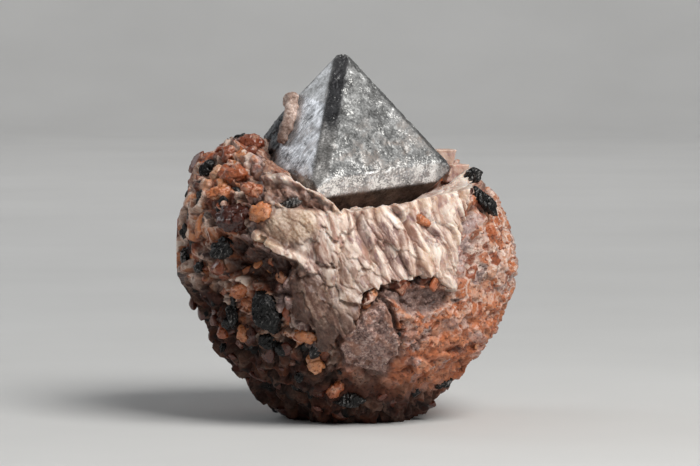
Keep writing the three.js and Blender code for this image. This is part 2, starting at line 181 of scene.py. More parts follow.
def cells(points, size, salt, jitter=0.9):
    """The scattered cells that points fall in: each one's key, the offset from its centre and
    the distance to its border. Size may be one number or one for each axis."""
    place = points / size
    low = np.floor(place)
    best = np.full(len(points), np.inf)
    next_best = best.copy()
    centre, neighbour, key = (np.zeros_like(place) for _ in range(3))
    for step in itertools.product((-1, 0, 1), repeat=3):
        cell = low + np.array(step)
        spot = cell + 0.5 + jitter * (cell_vector(cell, salt) - 0.5)
        away = ((place - spot) ** 2).sum(axis=1)
        nearest = away < best
        second = ~nearest & (away < next_best)
        next_best = np.where(nearest, best, np.where(second, away, next_best))
        neighbour[nearest] = centre[nearest]
        neighbour[second] = spot[second]
        best = np.where(nearest, away, best)
        centre[nearest] = spot[nearest]
        key[nearest] = cell[nearest]
    apart = np.linalg.norm(neighbour - centre, axis=1) + 1e-9
    border = (next_best - best) / (2 * apart) * np.min(size)
    return SimpleNamespace(key=key, offset=(place - centre) * size, border=border)


def tilted_facets(points, size, salt, slope, spread):
    """Cells with a relief like broken grains: each is a flat at its own angle and height."""
    made = cells(points, size, salt)
    lean = 2 * cell_vector(made.key, salt + 11) - 1
    made.relief = (made.offset * lean).sum(axis=1) * slope
    made.relief += spread * (cell_random(made.key, salt + 17) - 0.5)
    return made


# ---- the body's gauge
FACE_NORMALS = np.array([towards(turn, lift) for turn, lift, _ in BROKEN_FACES])
FACE_REACHES = np.array([reach for _, _, reach in BROKEN_FACES])


def crisp_reach(rising, crispness):
    """Reach inside several planes, their edges rounded: rising is 1 / reach for each plane."""
    most = rising.max(axis=1)
    return ((rising / most[:, None]) ** crispness).sum(axis=1) ** (-1 / crispness) / most


def broken_reach(directions):
    rising = np.maximum(0, directions @ FACE_NORMALS.T / FACE_REACHES)
    return crisp_reach(rising, BODY_CRISPNESS)


def scatter_chips():
    steps = np.arange(SURVEY_POINTS)
    lift = np.degrees(np.arcsin(1 - (2 * steps + 1) / SURVEY_POINTS))
    directions = towards(steps * 180 * (3 - math.sqrt(5)), lift)
    survey = directions * broken_reach(directions)[:, None]
    draw = seeded_random(CHIP_SEED)
    normals, reaches = [], []
    for _ in range(CHIP_COUNT):
        lift = math.degrees(math.asin(2 * next(draw) - 1))
        normal = towards(360 * next(draw), lift)
        normals.append(normal)
        reaches.append((survey @ normal).max() - mix(*CHIP_DEPTHS, next(draw)))
    return np.array(normals), np.array(reaches)


CHIP_NORMALS, CHIP_REACHES = scatter_chips()


def plane_reach(directions, normals, reaches):
    rising = directions @ normals.T
    return np.where(rising > 1e-9, reaches / np.maximum(rising, 1e-9), np.inf)


def body_reach(directions):
    """Distance from the body's centre to its CAD surface along unit directions."""
    chipped = plane_reach(directions, CHIP_NORMALS, CHIP_REACHES).min(axis=1)
    reach = np.minimum(broken_reach(directions), chipped)
    normals = np.array([towards(turn, lift) for turn, lift, _ in NOTCH_PLANES])
    through = np.array([point for _, _, point in NOTCH_PLANES]) - BODY_CENTRE
    notch = plane_reach(directions, normals, (normals * through).sum(axis=1)).max(axis=1)
    turn = np.degrees(np.arctan2(directions[:, 0], -directions[:, 1]))
    inside = np.minimum(turn - NOTCH_FROM, NOTCH_TO - turn)
    share = smoothstep(inside, -NOTCH_FADE, 0)
    return mix(reach, np.minimum(reach, notch), share)


# ---- the crystal's planes
CRYSTAL_CUTS = [  # the planes that bevel it, in its own axes, and their depths
    ((0, -1, 1), 1.25), ((1, -1, 0), 1.55), ((1, 0, 1), 0.6), ((-1, 0, 0.89), 2.6),
    ((0, 1, 1), 1.1), ((-1, -1, 0), 1.2), ((1, 1, 0), 1.3), ((-1, 1, 0), 1.2),
    ((0, -1, -1), 1.0), ((0, 1, -1), 1.0), ((1, 0, -1), 1.4), ((-1, 0, -1), 1.0),
    ((0, 0, 1), 1.25), ((1, -0.05, -0.1), 1.2), ((-0.833, -0.351, 0.424), 6.3),
]


def crystal_planes():
    """Normals and reaches of every plane of the crystal, in its own axes."""
    faces = unit(np.array(list(itertools.product((-1, 1), repeat=3)), float))
    cuts = unit(np.array([normal for normal, _ in CRYSTAL_CUTS], float))
    depths = np.array([depth for _, depth in CRYSTAL_CUTS])
    face_reaches = np.full(len(faces), CRYSTAL_HALF_AXIS / math.sqrt(3))
    cut_reaches = CRYSTAL_HALF_AXIS * np.abs(cuts).max(axis=1) - depths
    return np.concatenate([faces, cuts]), np.concatenate([face_reaches, cut_reaches])


def crystal_axes():
    """The crystal's own axes, one in each column."""
    lean, roll, turn = (math.radians(angle) for angle in CRYSTAL_TILT)
    about = Matrix.Rotation(lean, 3, "X") @ Matrix.Rotation(roll, 3, "Y")
    return np.array(about @ Matrix.Rotation(turn, 3, "Z"))


# ---- the view plane
def seen_from_front(points):
    """Where the camera sees points, on the upright plane through its target: across and up."""
    lift = math.radians(SIGHT_LIFT)
    offset = points - SIGHT_TARGET
    deep = offset[:, 1] * math.cos(lift) - offset[:, 2] * math.sin(lift)
    up = offset[:, 2] * math.cos(lift) + offset[:, 1] * math.sin(lift)
    nearer = SIGHT_DISTANCE / (SIGHT_DISTANCE + deep)
    across = SIGHT_TARGET[0] + offset[:, 0] * nearer
    rise = SIGHT_TARGET[2] * math.cos(lift) + up * nearer
    return columns(across, rise)


def near_line(places, line):
    """Distance of places from a line of points."""
    nearest = np.full(len(places), np.inf)
    corners = np.array(line, float)
    for start, end in zip(corners, corners[1:]):
        along, offset = end - start, places - start
        share = np.clip(offset @ along / (along @ along), 0, 1)
        nearest = np.minimum(nearest, np.linalg.norm(offset - share[:, None] * along, axis=1))
    return nearest


def inside_outline(places, outline):
    """Signed distance of places from an outline, positive inside it."""
    corners = np.array([*outline, outline[0]], float)
    inside = np.zeros(len(places), bool)
    for start, end in zip(corners, corners[1:]):
        crosses = (start[1] > places[:, 1]) != (end[1] > places[:, 1])
        run, rise = end - start
        meets = start[0] + (places[:, 1] - start[1]) * run / (rise or 1e-9)
        inside ^= crosses & (places[:, 0] < meets)
    nearest = near_line(places, corners)
    return np.where(inside, nearest, -nearest)


def region(places, outline, low, high):
    """From 0 to 1 as places pass from low to high millimetres inside an outline."""
    return smoothstep(inside_outline(places, outline), low, high)


def beside(places, line, near, far):
    """From 1 to 0 as places pass from near to far from a line."""
    return 1 - smoothstep(near_line(places, line), near, far)


# ---- meshes
def add_object(name, data):
    made = bpy.data.objects.new(name, data)
    bpy.context.scene.collection.objects.link(made)
    return made


def make_piece(name, points, faces, material, stands_for=(), looks=None):
    """A smooth-shaded piece from points in millimetres, riding on the body. Its looks are
    shares from 0 to 1, each a number or one for each point, that its material reads."""
    low, high = (np.array(corner) / METRES for corner in CAD_BOX)
    points = np.clip(points, low, high)
    mesh = bpy.data.meshes.new(name)
    mesh.from_pydata((points * METRES).tolist(), [], np.asarray(faces).tolist())
    mesh.shade_smooth()
    for key, share in (looks or {}).items():
        layer = mesh.attributes.new(key, "FLOAT", "POINT")
        share = np.broadcast_to(np.clip(share, 0, 1), len(points))
        layer.data.foreach_set("value", share.astype(np.float32))
    mesh.materials.append(material)
    piece = add_object(name, mesh)
    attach(piece, BODY)
    if stands_for:
        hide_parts(*stands_for)


def subdivided(corners, triangles, rows):
    """Unit directions and triangles of a ball whose triangles are cut into rows of small ones."""
    steps = [(i, j) for i in range(rows + 1) for j in range(rows + 1 - i)]
    number = {step: n for n, step in enumerate(steps)}
    weights = np.array([(rows - i - j, i, j) for i, j in steps]) / rows
    local = []
    for i, j in steps:
        if i + j < rows:
            local.append((number[i, j], number[i + 1, j], number[i, j + 1]))
        if i + j < rows - 1:
            local.append((number[i + 1, j], number[i + 1, j + 1], number[i, j + 1]))
    points = np.concatenate([weights @ corners[triangle] for triangle in triangles])
    faces = np.concatenate([np.array(local) + n * len(steps) for n in range(len(triangles))])
    _, first, again = np.unique(points.round(7), axis=0, return_index=True, return_inverse=True)
    return unit(points[first]), again.ravel()[faces]


def geodesic_ball(rows):
    ball = bmesh.new()
    bmesh.ops.create_icosphere(ball, subdivisions=1, radius=1)
    corners = np.array([vertex.co for vertex in ball.verts])
    triangles = [[vertex.index for vertex in face.verts] for face in ball.faces]
    ball.free()
    return subdivided(corners, triangles, rows)


def octahedral_ball(rows):
    corners = np.concatenate([np.eye(3), -np.eye(3)])
    triangles = []
    for x, y, z in itertools.product((0, 3), repeat=3):
        triangle = [x, y + 1, z + 2]
        triangles.append(triangle[::-1] if (x + y + z) % 2 else triangle)
    return subdivided(corners, triangles, rows)


def gather_towards(directions, pole, strength):
    """Moves directions towards pole, so that the mesh is finer there and coarser opposite."""
    pole = unit(np.array(pole, float))
    along = directions @ pole
    side = directions - along[:, None] * pole
    width = np.linalg.norm(side, axis=1) + 1e-12
    half = np.arctan2(width, along) / 2
    angle = 2 * np.arctan(np.tan(half) / strength)
    return np.cos(angle)[:, None] * pole + (np.sin(angle) / width)[:, None] * side


# ---- regions of the front, across and up as the camera sees them
# The ore: the purple patch, the painted shadow under the calcite's edge, the lilac strip beside it,
# a crack, the painted shade over the lower left and the bottom, and the sugary orange right side.
PURPLE_PATCH = [
    (3.5, 23.1), (6.5, 24.8), (8.4, 24.2), (10, 20.7), (11.4, 17.9), (11.1, 14.6), (9.2, 12.5),
    (7.8, 9.4), (5.4, 9.7), (2.1, 11.4), (-0.6, 12.5), (-2, 15.2), (-0.9, 19), (1.3, 20.1),
]
LEDGE_SHADOW = [
    (7, 28.9), (23.4, 28.3), (21.8, 23.9), (18, 22.3), (13.6, 22.8), (9.8, 25), (7, 26.1),
]
VEIL = [
    (23.4, 41.5), (27.8, 45.3), (29.5, 43.6), (26.7, 39.3), (26.2, 34.9), (24.5, 30.5),
    (22.8, 33.8),
]
CRACK = [(7.3, 26.1), (9.8, 23.4), (10.9, 20.1), (12, 18.5)]
LOW_LEFT_SHADE = [
    (-50, 33), (-30, 30), (-22, 21), (-8, 14.5), (2, 9.5), (12, 7), (25, 6), (32, -10), (-50, -10),
]
SUGARY = [
    (9, 28), (23, 29), (24, 42), (30, 46), (45, 46), (45, 8), (22, 4), (-4, 4), (-2, 14), (7, 8),
    (11, 18),
]
# The calcite: its mauve patches, the tan shelf, the crest at the crystal's foot with what is
# under and over it, the raised lip along the left edge and the trough behind the shelf; under
# the crest and in the trough its colour is darkened with painted shade.
MAUVE = [
    [(2.1, 42), (11.4, 42.6), (12.4, 39.3), (8, 37.2), (4, 38.2), (2.1, 39.8)],
    [(17.6, 41.8), (21.6, 41.6), (21.2, 38.4), (17.4, 37.8)],
    [(8.6, 36), (13.4, 36.2), (13.8, 31), (9.2, 30)],
    [(-8.4, 36.4), (-4, 34.6), (-5.4, 29.6), (-9.6, 30.4)],
]
SHELF = [
    (-19.8, 40.4), (-17.1, 44.7), (-13.8, 45.8), (-7.2, 45.8), (-6.1, 41.5), (-8.3, 39.3),
    (-14.9, 37.1), (-20, 38.7),
]
CREST = [(-20.9, 53.2), (-16.7, 52.9), (-11.4, 52), (-7.6, 50.1), (-4.4, 48), (-1.3, 45.6)]
UNDER_CREST = [
    (-17.5, 52.2), (-16.1, 52), (-11.4, 51), (-7.6, 49.3), (-5.5, 48), (-5.5, 46.2), (-9.5, 46.4),
    (-12.4, 47.7), (-16, 48.7), (-17.5, 50),
]
OVER_CREST = [
    (-22, 57.5), (-18, 60), (-15, 57), (-13, 55.3), (-11.2, 53.2), (-16.7, 53.6), (-22, 54),
]
LIP = [(-20.1, 40.1), (-17.6, 38.4), (-14.3, 36.8), (-10.5, 35.2), (-7.2, 32.6)]
LIP_HALF_WIDTH = 1.3
TROUGH = [(-16, 48.6), (-12, 47), (-8.3, 46.4), (-4, 46.2)]
# Both: the hollow in the left, and the shade under the crystal's right corner, each darkened with
# painted shade.
LEFT_RECESS = [
    (-28, 40.9), (-20.3, 39.8), (-15.4, 36), (-10.5, 34.9), (-11.6, 31.6), (-14.9, 28.9),
    (-19.2, 27.8), (-26.4, 32.2),
]
CORNER_SHADE = [(14.8, 51.6), (22.4, 52.8), (22.6, 51.4), (19.8, 50), (15.5, 48.4)]

# ---- how the matrix is fitted to the crystal, the grains and the outline
CRYSTAL_SHOWN = [
    (23.9, 57), (23.7, 53.2), (22.8, 51.6), (21.2, 51.1), (19.6, 50.6), (18.2, 49.7), (16.8, 49.2),
    (15.4, 48.3), (14.3, 47.5), (12.9, 47.4), (11.6, 47), (10.4, 47.2), (9, 46.5), (7.8, 46.9),
    (6.4, 46.2), (4.8, 46.5), (3.2, 46), (1.7, 46.6), (0.4, 45.8), (-0.8, 46.1), (-1.5, 45.4),
    (-2.9, 47.2), (-4.4, 48.2), (-5.6, 49.5), (-7.4, 50.1), (-9.6, 50.9), (-10.6, 51.9),
    (-12, 52.4), (-12.6, 54), (-14.2, 54.9), (-15.6, 55.6), (-16.4, 57.1), (-17.8, 58.9),
    (-24, 64), (-15, 85), (12, 85),
]
CRYSTAL_COVER = 0.5  # how far the matrix stays under the crystal's faces where they show
UNCOVER_FROM, UNCOVER_TO, UNCOVER_STEP = 12.0, 45.0, 0.25  # the reaches that are tried
STRAY_STEPS = 60
SOCKET_COVER = 0.45  # how far the matrix stays under the faces of the grains set in it
SOCKET_FROM, SOCKET_DEPTH = 60.0, 40.0
OUTLINE = [
    (-18, 61.2), (-20.2, 61.6), (-23.5, 61.8), (-25.3, 61.4), (-27.5, 59.6), (-29, 58.2),
    (-31.2, 57.6), (-32.8, 56), (-33.6, 53.2), (-34.6, 49), (-36.2, 44.5), (-37.4, 40.8),
    (-37.6, 38), (-37.2, 34.2), (-36.7, 31.4), (-35, 28.5), (-33.2, 25.9), (-31.7, 23.6),
    (-30.6, 21), (-29.5, 18.1), (-29, 14.9), (-27.5, 12.6), (-25.3, 10), (-23.5, 7.1),
    (-20.2, 4.3), (-16.9, 2), (-14, -9), (13, -9), (17.8, 3), (20.5, 5.8), (24.9, 7.8), (27.1, 10),
    (30.4, 15.4), (31.9, 17.6), (33.7, 21.4), (34.6, 24.8), (36.3, 28.1), (37.2, 31.4),
    (37.6, 35.8), (36.7, 40.1), (35, 43), (33.9, 46.8), (32.4, 49), (30.6, 51), (29, 54.5),
    (26.6, 56.4), (24.5, 58.9), (20, 80), (-14, 80),
]
OUTLINE_TRIM = 2.4  # the most that is taken off outside the outline
OUTLINE_SLACK = 0.3  # what may stand beyond that
GRAIN_KINDS = ("franklinite_grain", "willemite_crystal")


def uncover_crystal(directions, reach):
    """Ends the matrix where it would begin to hide what shows of the crystal."""
    normals, reaches = crystal_planes()
    normals = normals @ crystal_axes().T
    reaches = reaches + normals @ CRYSTAL_CENTRE
    reach = reach.copy()
    busy = np.where((directions[:, 1] < 0.1) & (directions[:, 2] > 0.2))[0]
    for distance in np.arange(UNCOVER_FROM, UNCOVER_TO, UNCOVER_STEP):
        busy = busy[reach[busy] > distance]
        points = BODY_CENTRE + directions[busy] * distance
        hides = (points @ normals.T - reaches).max(axis=1) > -CRYSTAL_COVER
        hides &= inside_outline(seen_from_front(points), CRYSTAL_SHOWN) > 0
        hides &= points[:, 1] < CRYSTAL_CENTRE[1]
        reach[busy[hides]] = distance - UNCOVER_STEP
        busy = busy[~hides]
    return reach


def drop_strays(directions, reach):
    """Draws in whatever still stands far outside the outline."""
    reach = reach.copy()
    busy = np.arange(len(directions))
    for _ in range(STRAY_STEPS):
        places = seen_from_front(BODY_CENTRE + directions[busy] * reach[busy, None])
        busy = busy[inside_outline(places, OUTLINE) < -OUTLINE_TRIM - OUTLINE_SLACK]
        reach[busy] -= UNCOVER_STEP
    return reach


def node_triangles(name):
    """A CAD node's points, in millimetres, and its triangles."""
    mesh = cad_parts[name].data
    points = [vertex.co / METRES for vertex in mesh.vertices]
    return points, [tuple(face.vertices) for face in mesh.polygons]


def gather_grains():
    """The faces of the grains set in the matrix, as one tree, and the grains' middles."""
    points, triangles, middles = [], [], []
    for name in sorted(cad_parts):
        if name.startswith(GRAIN_KINDS):
            own, faces = node_triangles(name)
            triangles += [tuple(index + len(points) for index in face) for face in faces]
            points += own
            middles.append(np.mean(own, axis=0))
    return BVHTree.FromPolygons(points, triangles), np.array(middles)


GRAIN_TREE, GRAIN_MIDDLES = gather_grains()


def socket_cap(directions):
    """The reach that keeps the matrix under the grains set in it."""
    cap = np.full(len(directions), np.inf)
    centre = Vector(BODY_CENTRE)
    for index, direction in enumerate(directions):
        ray = Vector(direction)
        fallen = GRAIN_TREE.ray_cast(centre + ray * SOCKET_FROM, -ray, SOCKET_DEPTH)[3]
        if fallen is not None:
            cap[index] = SOCKET_FROM - fallen - SOCKET_COVER
    return cap


def outline_trim(points):
    """How far points lie outside the outline seen from the front, but less near the grains."""
    outside = np.clip(-inside_outline(seen_from_front(points), OUTLINE), 0, OUTLINE_TRIM)
    nearest = np.full(len(points), np.inf)
    for middle in GRAIN_MIDDLES:
        nearest = np.minimum(nearest, np.linalg.norm(points - middle, axis=1))
    return outside * smoothstep(nearest, 1.5, 5.0)


def settle_reach(directions, reach):
    """Fits the matrix to the crystal and grains that stand in it."""
    reach = np.minimum(reach, socket_cap(directions))
    uncovered = uncover_crystal(directions, reach)
    points = BODY_CENTRE + directions * uncovered[:, None]
    worn = 0.9 + 0.9 * fractal(points * np.array([1.0, 0.6, 1.0]), 2.8, 210, 5, 0.6)
    worn += tilted_facets(points, 1.8, 221, 0.7, 0.9).relief
    worn += tilted_facets(points, 0.9, 231, 0.7, 0.4).relief
    uncovered -= smoothstep(reach - uncovered, 0.2, 2.0) * np.clip(worn, 0, 3.2)
    return drop_strays(directions, uncovered)


def facing_front(points):
    """From 0 at the back to 1 at the front."""
    return smoothstep(-points[:, 1], -6, 6)


# ---- the ore
ORE_FREQUENCY = 99
ORE_GATHER = 1.4
ORE_SINK = 2.4  # how far the ore lies under the calcite
CUT_SINK = 1.6  # and where both are cut away along the crystal and the grains


def calcite_depth(places, points):
    """Signed distance inside the calcite's outline, its edge wandering a little."""
    wander = 0.9 * fractal(points, 5.0, 900, 3)
    depth = inside_outline(places, CALCITE_OUTLINE) + wander
    return np.maximum(depth, LIP_HALF_WIDTH - near_line(places, LIP))


def ore_regions(points):
    """Shares, from 0 to 1, of the ore's kinds at points of its surface."""
    wander = columns(noise(points, 4.0, 70), noise(points, 4.0, 71))
    wander += 0.5 * columns(noise(points, 1.4, 72), noise(points, 1.4, 73))
    places = seen_from_front(points) + 0.8 * wander
    front = facing_front(points)
    around = 0.5 + 0.9 * fractal(points, 26.0, 60, 3) + points[:, 0] / 60
    sugar = mix(smoothstep(around, 0.3, 0.7), region(places, SUGARY, -1.2, 1.2), front)
    at = SimpleNamespace(sugar=sugar, crack=beside(places, CRACK, 0.25, 0.8) * front)
    for name, outline, low, high in (
        ("purple", PURPLE_PATCH, -0.4, 0.3), ("skirt", PURPLE_PATCH, -2.2, -0.2),
        ("recess", LEFT_RECESS, -0.8, 2.2), ("ledge", LEDGE_SHADOW, -0.5, 1.3),
        ("veil", VEIL, -1.2, 1.2), ("corner", CORNER_SHADE, -0.8, 0.4),
    ):
        setattr(at, name, region(places, outline, low, high) * front)
    at.packed = (1 - at.sugar) * (1 - at.purple)
    return at


def ore_relief(base, warp, at):
    """The ore's grains: their relief, tones and the seams between them."""
    spots = base + 0.8 * warp
    big = tilted_facets(spots, 3.6, 101, 0.75, 1.5)
    mid = tilted_facets(spots, 1.7, 131, 0.7, 0.7)
    small = tilted_facets(spots, 0.85, 161, 0.6, 0.3)
    seam = 1 - smoothstep(big.border, 0.0, 0.42)
    ribs = fractal(spots * np.array([1.0, 1.0, 0.34]), 2.6, 180, 3)
    ribbed = at.packed * smoothstep(-base[:, 0], 14, 27) * facing_front(base)
    relief = 1.5 * ribbed * ribs - 0.75 * seam * at.packed
    relief += big.relief * mix(0.42, 0.95, at.packed) * (1 - 0.8 * at.purple)
    relief += mid.relief * mix(0.50, 0.7, at.packed) * (1 - 0.6 * at.purple)
    relief += small.relief * mix(0.40, 0.45, at.packed)
    relief -= 0.16 * (1 - smoothstep(mid.border, 0.0, 0.2)) * mix(0.6, 1.0, at.packed)
    relief -= 2.3 * at.recess + 2.0 * at.ledge + 1.3 * at.crack
    relief += at.purple * (0.6 + 2.0 * fractal(base, 2.4, 230, 5, 0.6))
    relief -= 1.1 * at.skirt * (1 - at.purple)
    return relief, {"kind": cell_random(big.key, 7), "tone": cell_random(mid.key, 9), "seam": seam}


def ore_surface(directions):
    """The ore's surface along directions: points, where it is under the calcite, and looks."""
    reach = body_reach(directions)
    base = BODY_CENTRE + directions * reach[:, None]
    places = seen_from_front(base)
    at = ore_regions(base)
    warp = fractal_vector(base, 2.6, 20)
    swell = 0.9 * fractal(base, 11.0, 40, 3)
    grains, looks = ore_relief(base, warp, at)

    depth = calcite_depth(places, base)
    front = smoothstep(-base[:, 1], 4, 9)
    under = smoothstep(depth, -0.2, 1.6) * front
    left = smoothstep(-places[:, 0], 4, 12)
    under_share = mix(under, smoothstep(depth, -0.3, 2.4), left)
    relief = mix(swell + grains, -ORE_SINK, under_share)
    relief = np.minimum(relief - 0.45, 0.35 + 0.2 * relief)
    floor = smoothstep(-directions[:, 2], 0.86, 0.97)
    relief = mix(relief, np.maximum(relief, -0.25), floor)
    wanted = reach + relief - outline_trim(base)
    reach = settle_reach(directions, wanted)
    cut_away = smoothstep(wanted - reach, 0.1, 0.8) * smoothstep(depth, -0.8, 0.6)
    reach -= CUT_SINK * cut_away * facing_front(base)
    points = BODY_CENTRE + directions * reach[:, None]
    points[:, 2] = np.maximum(points[:, 2], 0)

    # Painted shade in the hollows of the relief.
    hollow = smoothstep(swell - relief - 0.3, 0.0, 1.5)
    # Painted shade over the ore's lower left and bottom.
    umber = region(places + 1.5 * warp[:, :2], LOW_LEFT_SHADE, -2.0, 3.0) * smoothstep(-base[:, 1], -12, 0)
    veins = smoothstep(np.abs(depth) + 1.5 * noise(base, 2.5, 190), 3.5, 0.5) * left * front
    beneath = smoothstep(-places[:, 1], -20, -14)
    # Painted shade: the crack, the ledge's shadow, the shade under the crystal's corner and a
    # shadow round the purple patch, deepest beneath it.
    dark = np.maximum(at.crack + at.ledge, 1.2 * at.corner)
    dark = np.maximum(dark, at.skirt * (1 - at.purple) * mix(0.6, 1.0, beneath))
    looks.update(
        sugar=at.sugar, purple=at.purple, veil=np.maximum(at.veil, 0.8 * veins),
        hollow=hollow, recess=at.recess, dark=dark, umber=umber,
    )
    return points, under, looks


def build_ore(material):
    directions, faces = geodesic_ball(ORE_FREQUENCY)
    directions = gather_towards(directions, towards(0, 6), ORE_GATHER)
    points, _, looks = ore_surface(directions)
    make_piece("ore_matrix_visual", points, faces, material, ["ore_matrix"], looks)


# ---- the small grains packed in the ore
CLOUD_FREQUENCY = 5
CLOUD_PLANES = 10
CLOUD_FLATTEN = 0.38
CLOUD_SINK = (0.15, 0.45)
CLOUD_TINTS = (0.12, 0.80)
CLOUD_CANDIDATES = 9000


def scatter_seats(count, sizes, spacing, wanted, seed):
    """Seats on the ore where wanted says, apart from each other, with the size at each and how far
    painted shade dims it.
    """
    draw = np.random.default_rng(seed)
    directions = unit(draw.normal(size=(CLOUD_CANDIDATES, 3)))
    points, under, looks = ore_surface(directions)
    share = wanted(points, looks) * (under < 0.2) * (points[:, 2] > 1.0)
    kept = []
    for point, direction, chance, umber in zip(points, directions, share, looks["umber"]):
        size = mix(*sizes, draw.random() ** 1.8)
        if len(kept) == count or draw.random() > chance:
            continue
        near = (np.linalg.norm(point - other) < spacing * (size + its) for other, _, its, _ in kept)
        if not any(near):
            kept.append((point, direction, size, 1 - 0.85 * umber))
    return kept, draw


def build_cloud(name, material, count, sizes, spacing, wanted, seed):
    """Small broken lumps, half sunk in the ore, as one mesh."""
    seats, draw = scatter_seats(count, sizes, spacing, wanted, seed)
    ball, ball_faces = geodesic_ball(CLOUD_FREQUENCY)
    points, faces, tints = [], [], []
    for seat, direction, size, light in seats:
        normals = unit(draw.normal(size=(CLOUD_PLANES, 3)))
        reaches = draw.uniform(0.55, 1.0, CLOUD_PLANES)
        rising = np.maximum(1e-3, ball @ normals.T / reaches)
        shape = ball * np.minimum(crisp_reach(rising, 60), 1.25)[:, None]
        stretch = np.array([1.0, draw.uniform(0.6, 0.95), draw.uniform(0.8, 1.5)])
        turn = np.array(Matrix.Rotation(draw.uniform(0, 6.28), 3, Vector(draw.normal(size=3))))
        shape = (shape * stretch * size) @ turn.T
        shape -= CLOUD_FLATTEN * (shape @ direction)[:, None] * direction
        middle = seat - direction * size * draw.uniform(*CLOUD_SINK)
        faces.append(ball_faces + len(ball) * len(points))
        points.append(middle + shape)
        # Painted shade: grains in the ore's low-left shade get a darker tint.
        tints.append(np.full(len(ball), mix(*CLOUD_TINTS, draw.random()) * light))
    looks = {"tint": np.concatenate(tints)}
    make_piece(name, np.concatenate(points), np.concatenate(faces), material, looks=looks)


# ---- the calcite
CALCITE_POLE = (4, 20)  # turn and lift of the middle of the patch
CALCITE_ROWS = 306
CALCITE_SPREAD = 0.52  # half width of the patch on the stereographic plane
CALCITE_BACKING = 7.0  # thickness of the patch at its rim
CALCITE_CORE = 14.0  # how far from the body's centre its back comes to a point
BLADE_LEAN = 68  # degrees from level to the blades' long axis, down to the right
BLADE_SIZE = np.array([2.3, 8.6, 7.0])  # across and along the blades, and into the calcite
BLOCK_SIZE = np.array([2.6, 5.2, 5.0])
FLAKE_SIZE = np.array([0.8, 2.5, 2.4])
BLOCK_BEND = 1.3  # how far the blocks' borders wander
RELIEF_LOW, RELIEF_HIGH, RELIEF_OUTSIDE = -1.7, 2.3, -6.5
DOWN_LEFT_SHADE_FROM = np.array([-13.8, 36.5])  # where the calcite's painted shade begins, as seen from the front
DOWN_LEFT_SHADE_SIDE = np.array([-0.68, -0.73])  # and towards which side
LEAN_SINE, LEAN_COSINE = math.sin(math.radians(BLADE_LEAN)), math.cos(math.radians(BLADE_LEAN))


def leaned(a, b):
    """From across and up to across and along the blades, or back again."""
    return a * LEAN_SINE + b * LEAN_COSINE, a * LEAN_COSINE - b * LEAN_SINE


def calcite_cells(axes, size, salt):
    """Cells of the calcite, with the place across and along each from -0.5 to 0.5 or so."""
    made = cells(axes, size, salt, 1.0)
    made.across, made.along = (made.offset / size)[:, :2].T
    return made


def blade_cells(axes):
    """Long leaning blades and their relief."""
    made = calcite_cells(axes, BLADE_SIZE, 341)
    tilt, twist, rise = (cell_random(made.key, salt) for salt in (353, 351, 352))
    made.relief = mix(0.1, 1.3, tilt**1.3) * made.along - 1.9 * made.across**2
    made.relief += 0.7 * (2 * twist - 1) * made.across + 1.2 * (rise - 0.5)
    return made


def block_cells(axes, bent):
    """Cleaved blocks and their relief."""
    made = calcite_cells(axes + BLOCK_BEND * bent, BLOCK_SIZE, 361)
    twist, rise, gap = (cell_random(made.key, salt) for salt in (362, 363, 364))
    made.relief = 0.8 * made.along - 0.8 * made.across**2 + (2 * twist - 1) * made.across
    made.relief += 0.9 * (rise - 0.5)
    made.relief += 0.8 * fractal(axes / np.array([0.8, 1.8, 1.0]), 2.6, 420, 4)
    made.relief -= 0.25 * (1 - smoothstep(made.border, 0.0, 0.35)) * gap
    return made


def flake_cells(axes):
    """Small flakes on the blades and blocks, and their relief."""
    made = calcite_cells(axes, FLAKE_SIZE, 371)
    twist, rise = (cell_random(made.key, salt) for salt in (381, 382))
    made.relief = 0.30 * made.along + 0.24 * (2 * twist - 1) * made.across + 0.22 * (rise - 0.5)
    return made


def calcite_regions(base, places, bent):
    """Shares, from 0 to 1, of the places where the calcite is different."""
    rough = places + 0.7 * bent[:, :2]
    across, up = places.T
    at = SimpleNamespace(crest=beside(rough, CREST, 0.4, 1.2))
    at.under_crest = region(rough, UNDER_CREST, -0.5, 0.4) * (1 - at.crest)
    at.over_crest = region(rough, OVER_CREST, -0.5, 0.4) * (1 - at.crest)
    at.trough = beside(places, TROUGH, 0.4, 1.5)
    at.shelf = region(places, SHELF, -1.0, 1.5)
    at.lip = beside(places + 0.5 * bent[:, :2], LIP, 0.5, 1.5)
    at.recess = region(places, LEFT_RECESS, -0.8, 1.0) * (1 - at.lip)
    at.corner = region(rough, CORNER_SHADE, -0.8, 0.4)
    at.mauve = np.max([region(rough, patch, -0.9, 0.7) for patch in MAUVE], axis=0)
    at.ribbed = smoothstep(across + 0.53 * (up - 47.5) + 3.4, -2, 3)
    at.shoulder = smoothstep(across, 19, 22) * smoothstep(up, 46, 50)
    at.left = smoothstep(-across, 4, 12)
    at.low_down = smoothstep(-up + 1.5 * noise(base, 3.0, 406), -22, -17)
    # Painted shade, deepening down and to the left, where the calcite faces away from the light.
    beyond = DOWN_LEFT_SHADE_SIDE @ (places - DOWN_LEFT_SHADE_FROM).T + 1.5 * noise(base, 3.0, 403)
    at.dull = mix(0.45, 1.0, smoothstep(beyond, -3, 2)) * smoothstep(beyond, -12, -5)
    return at


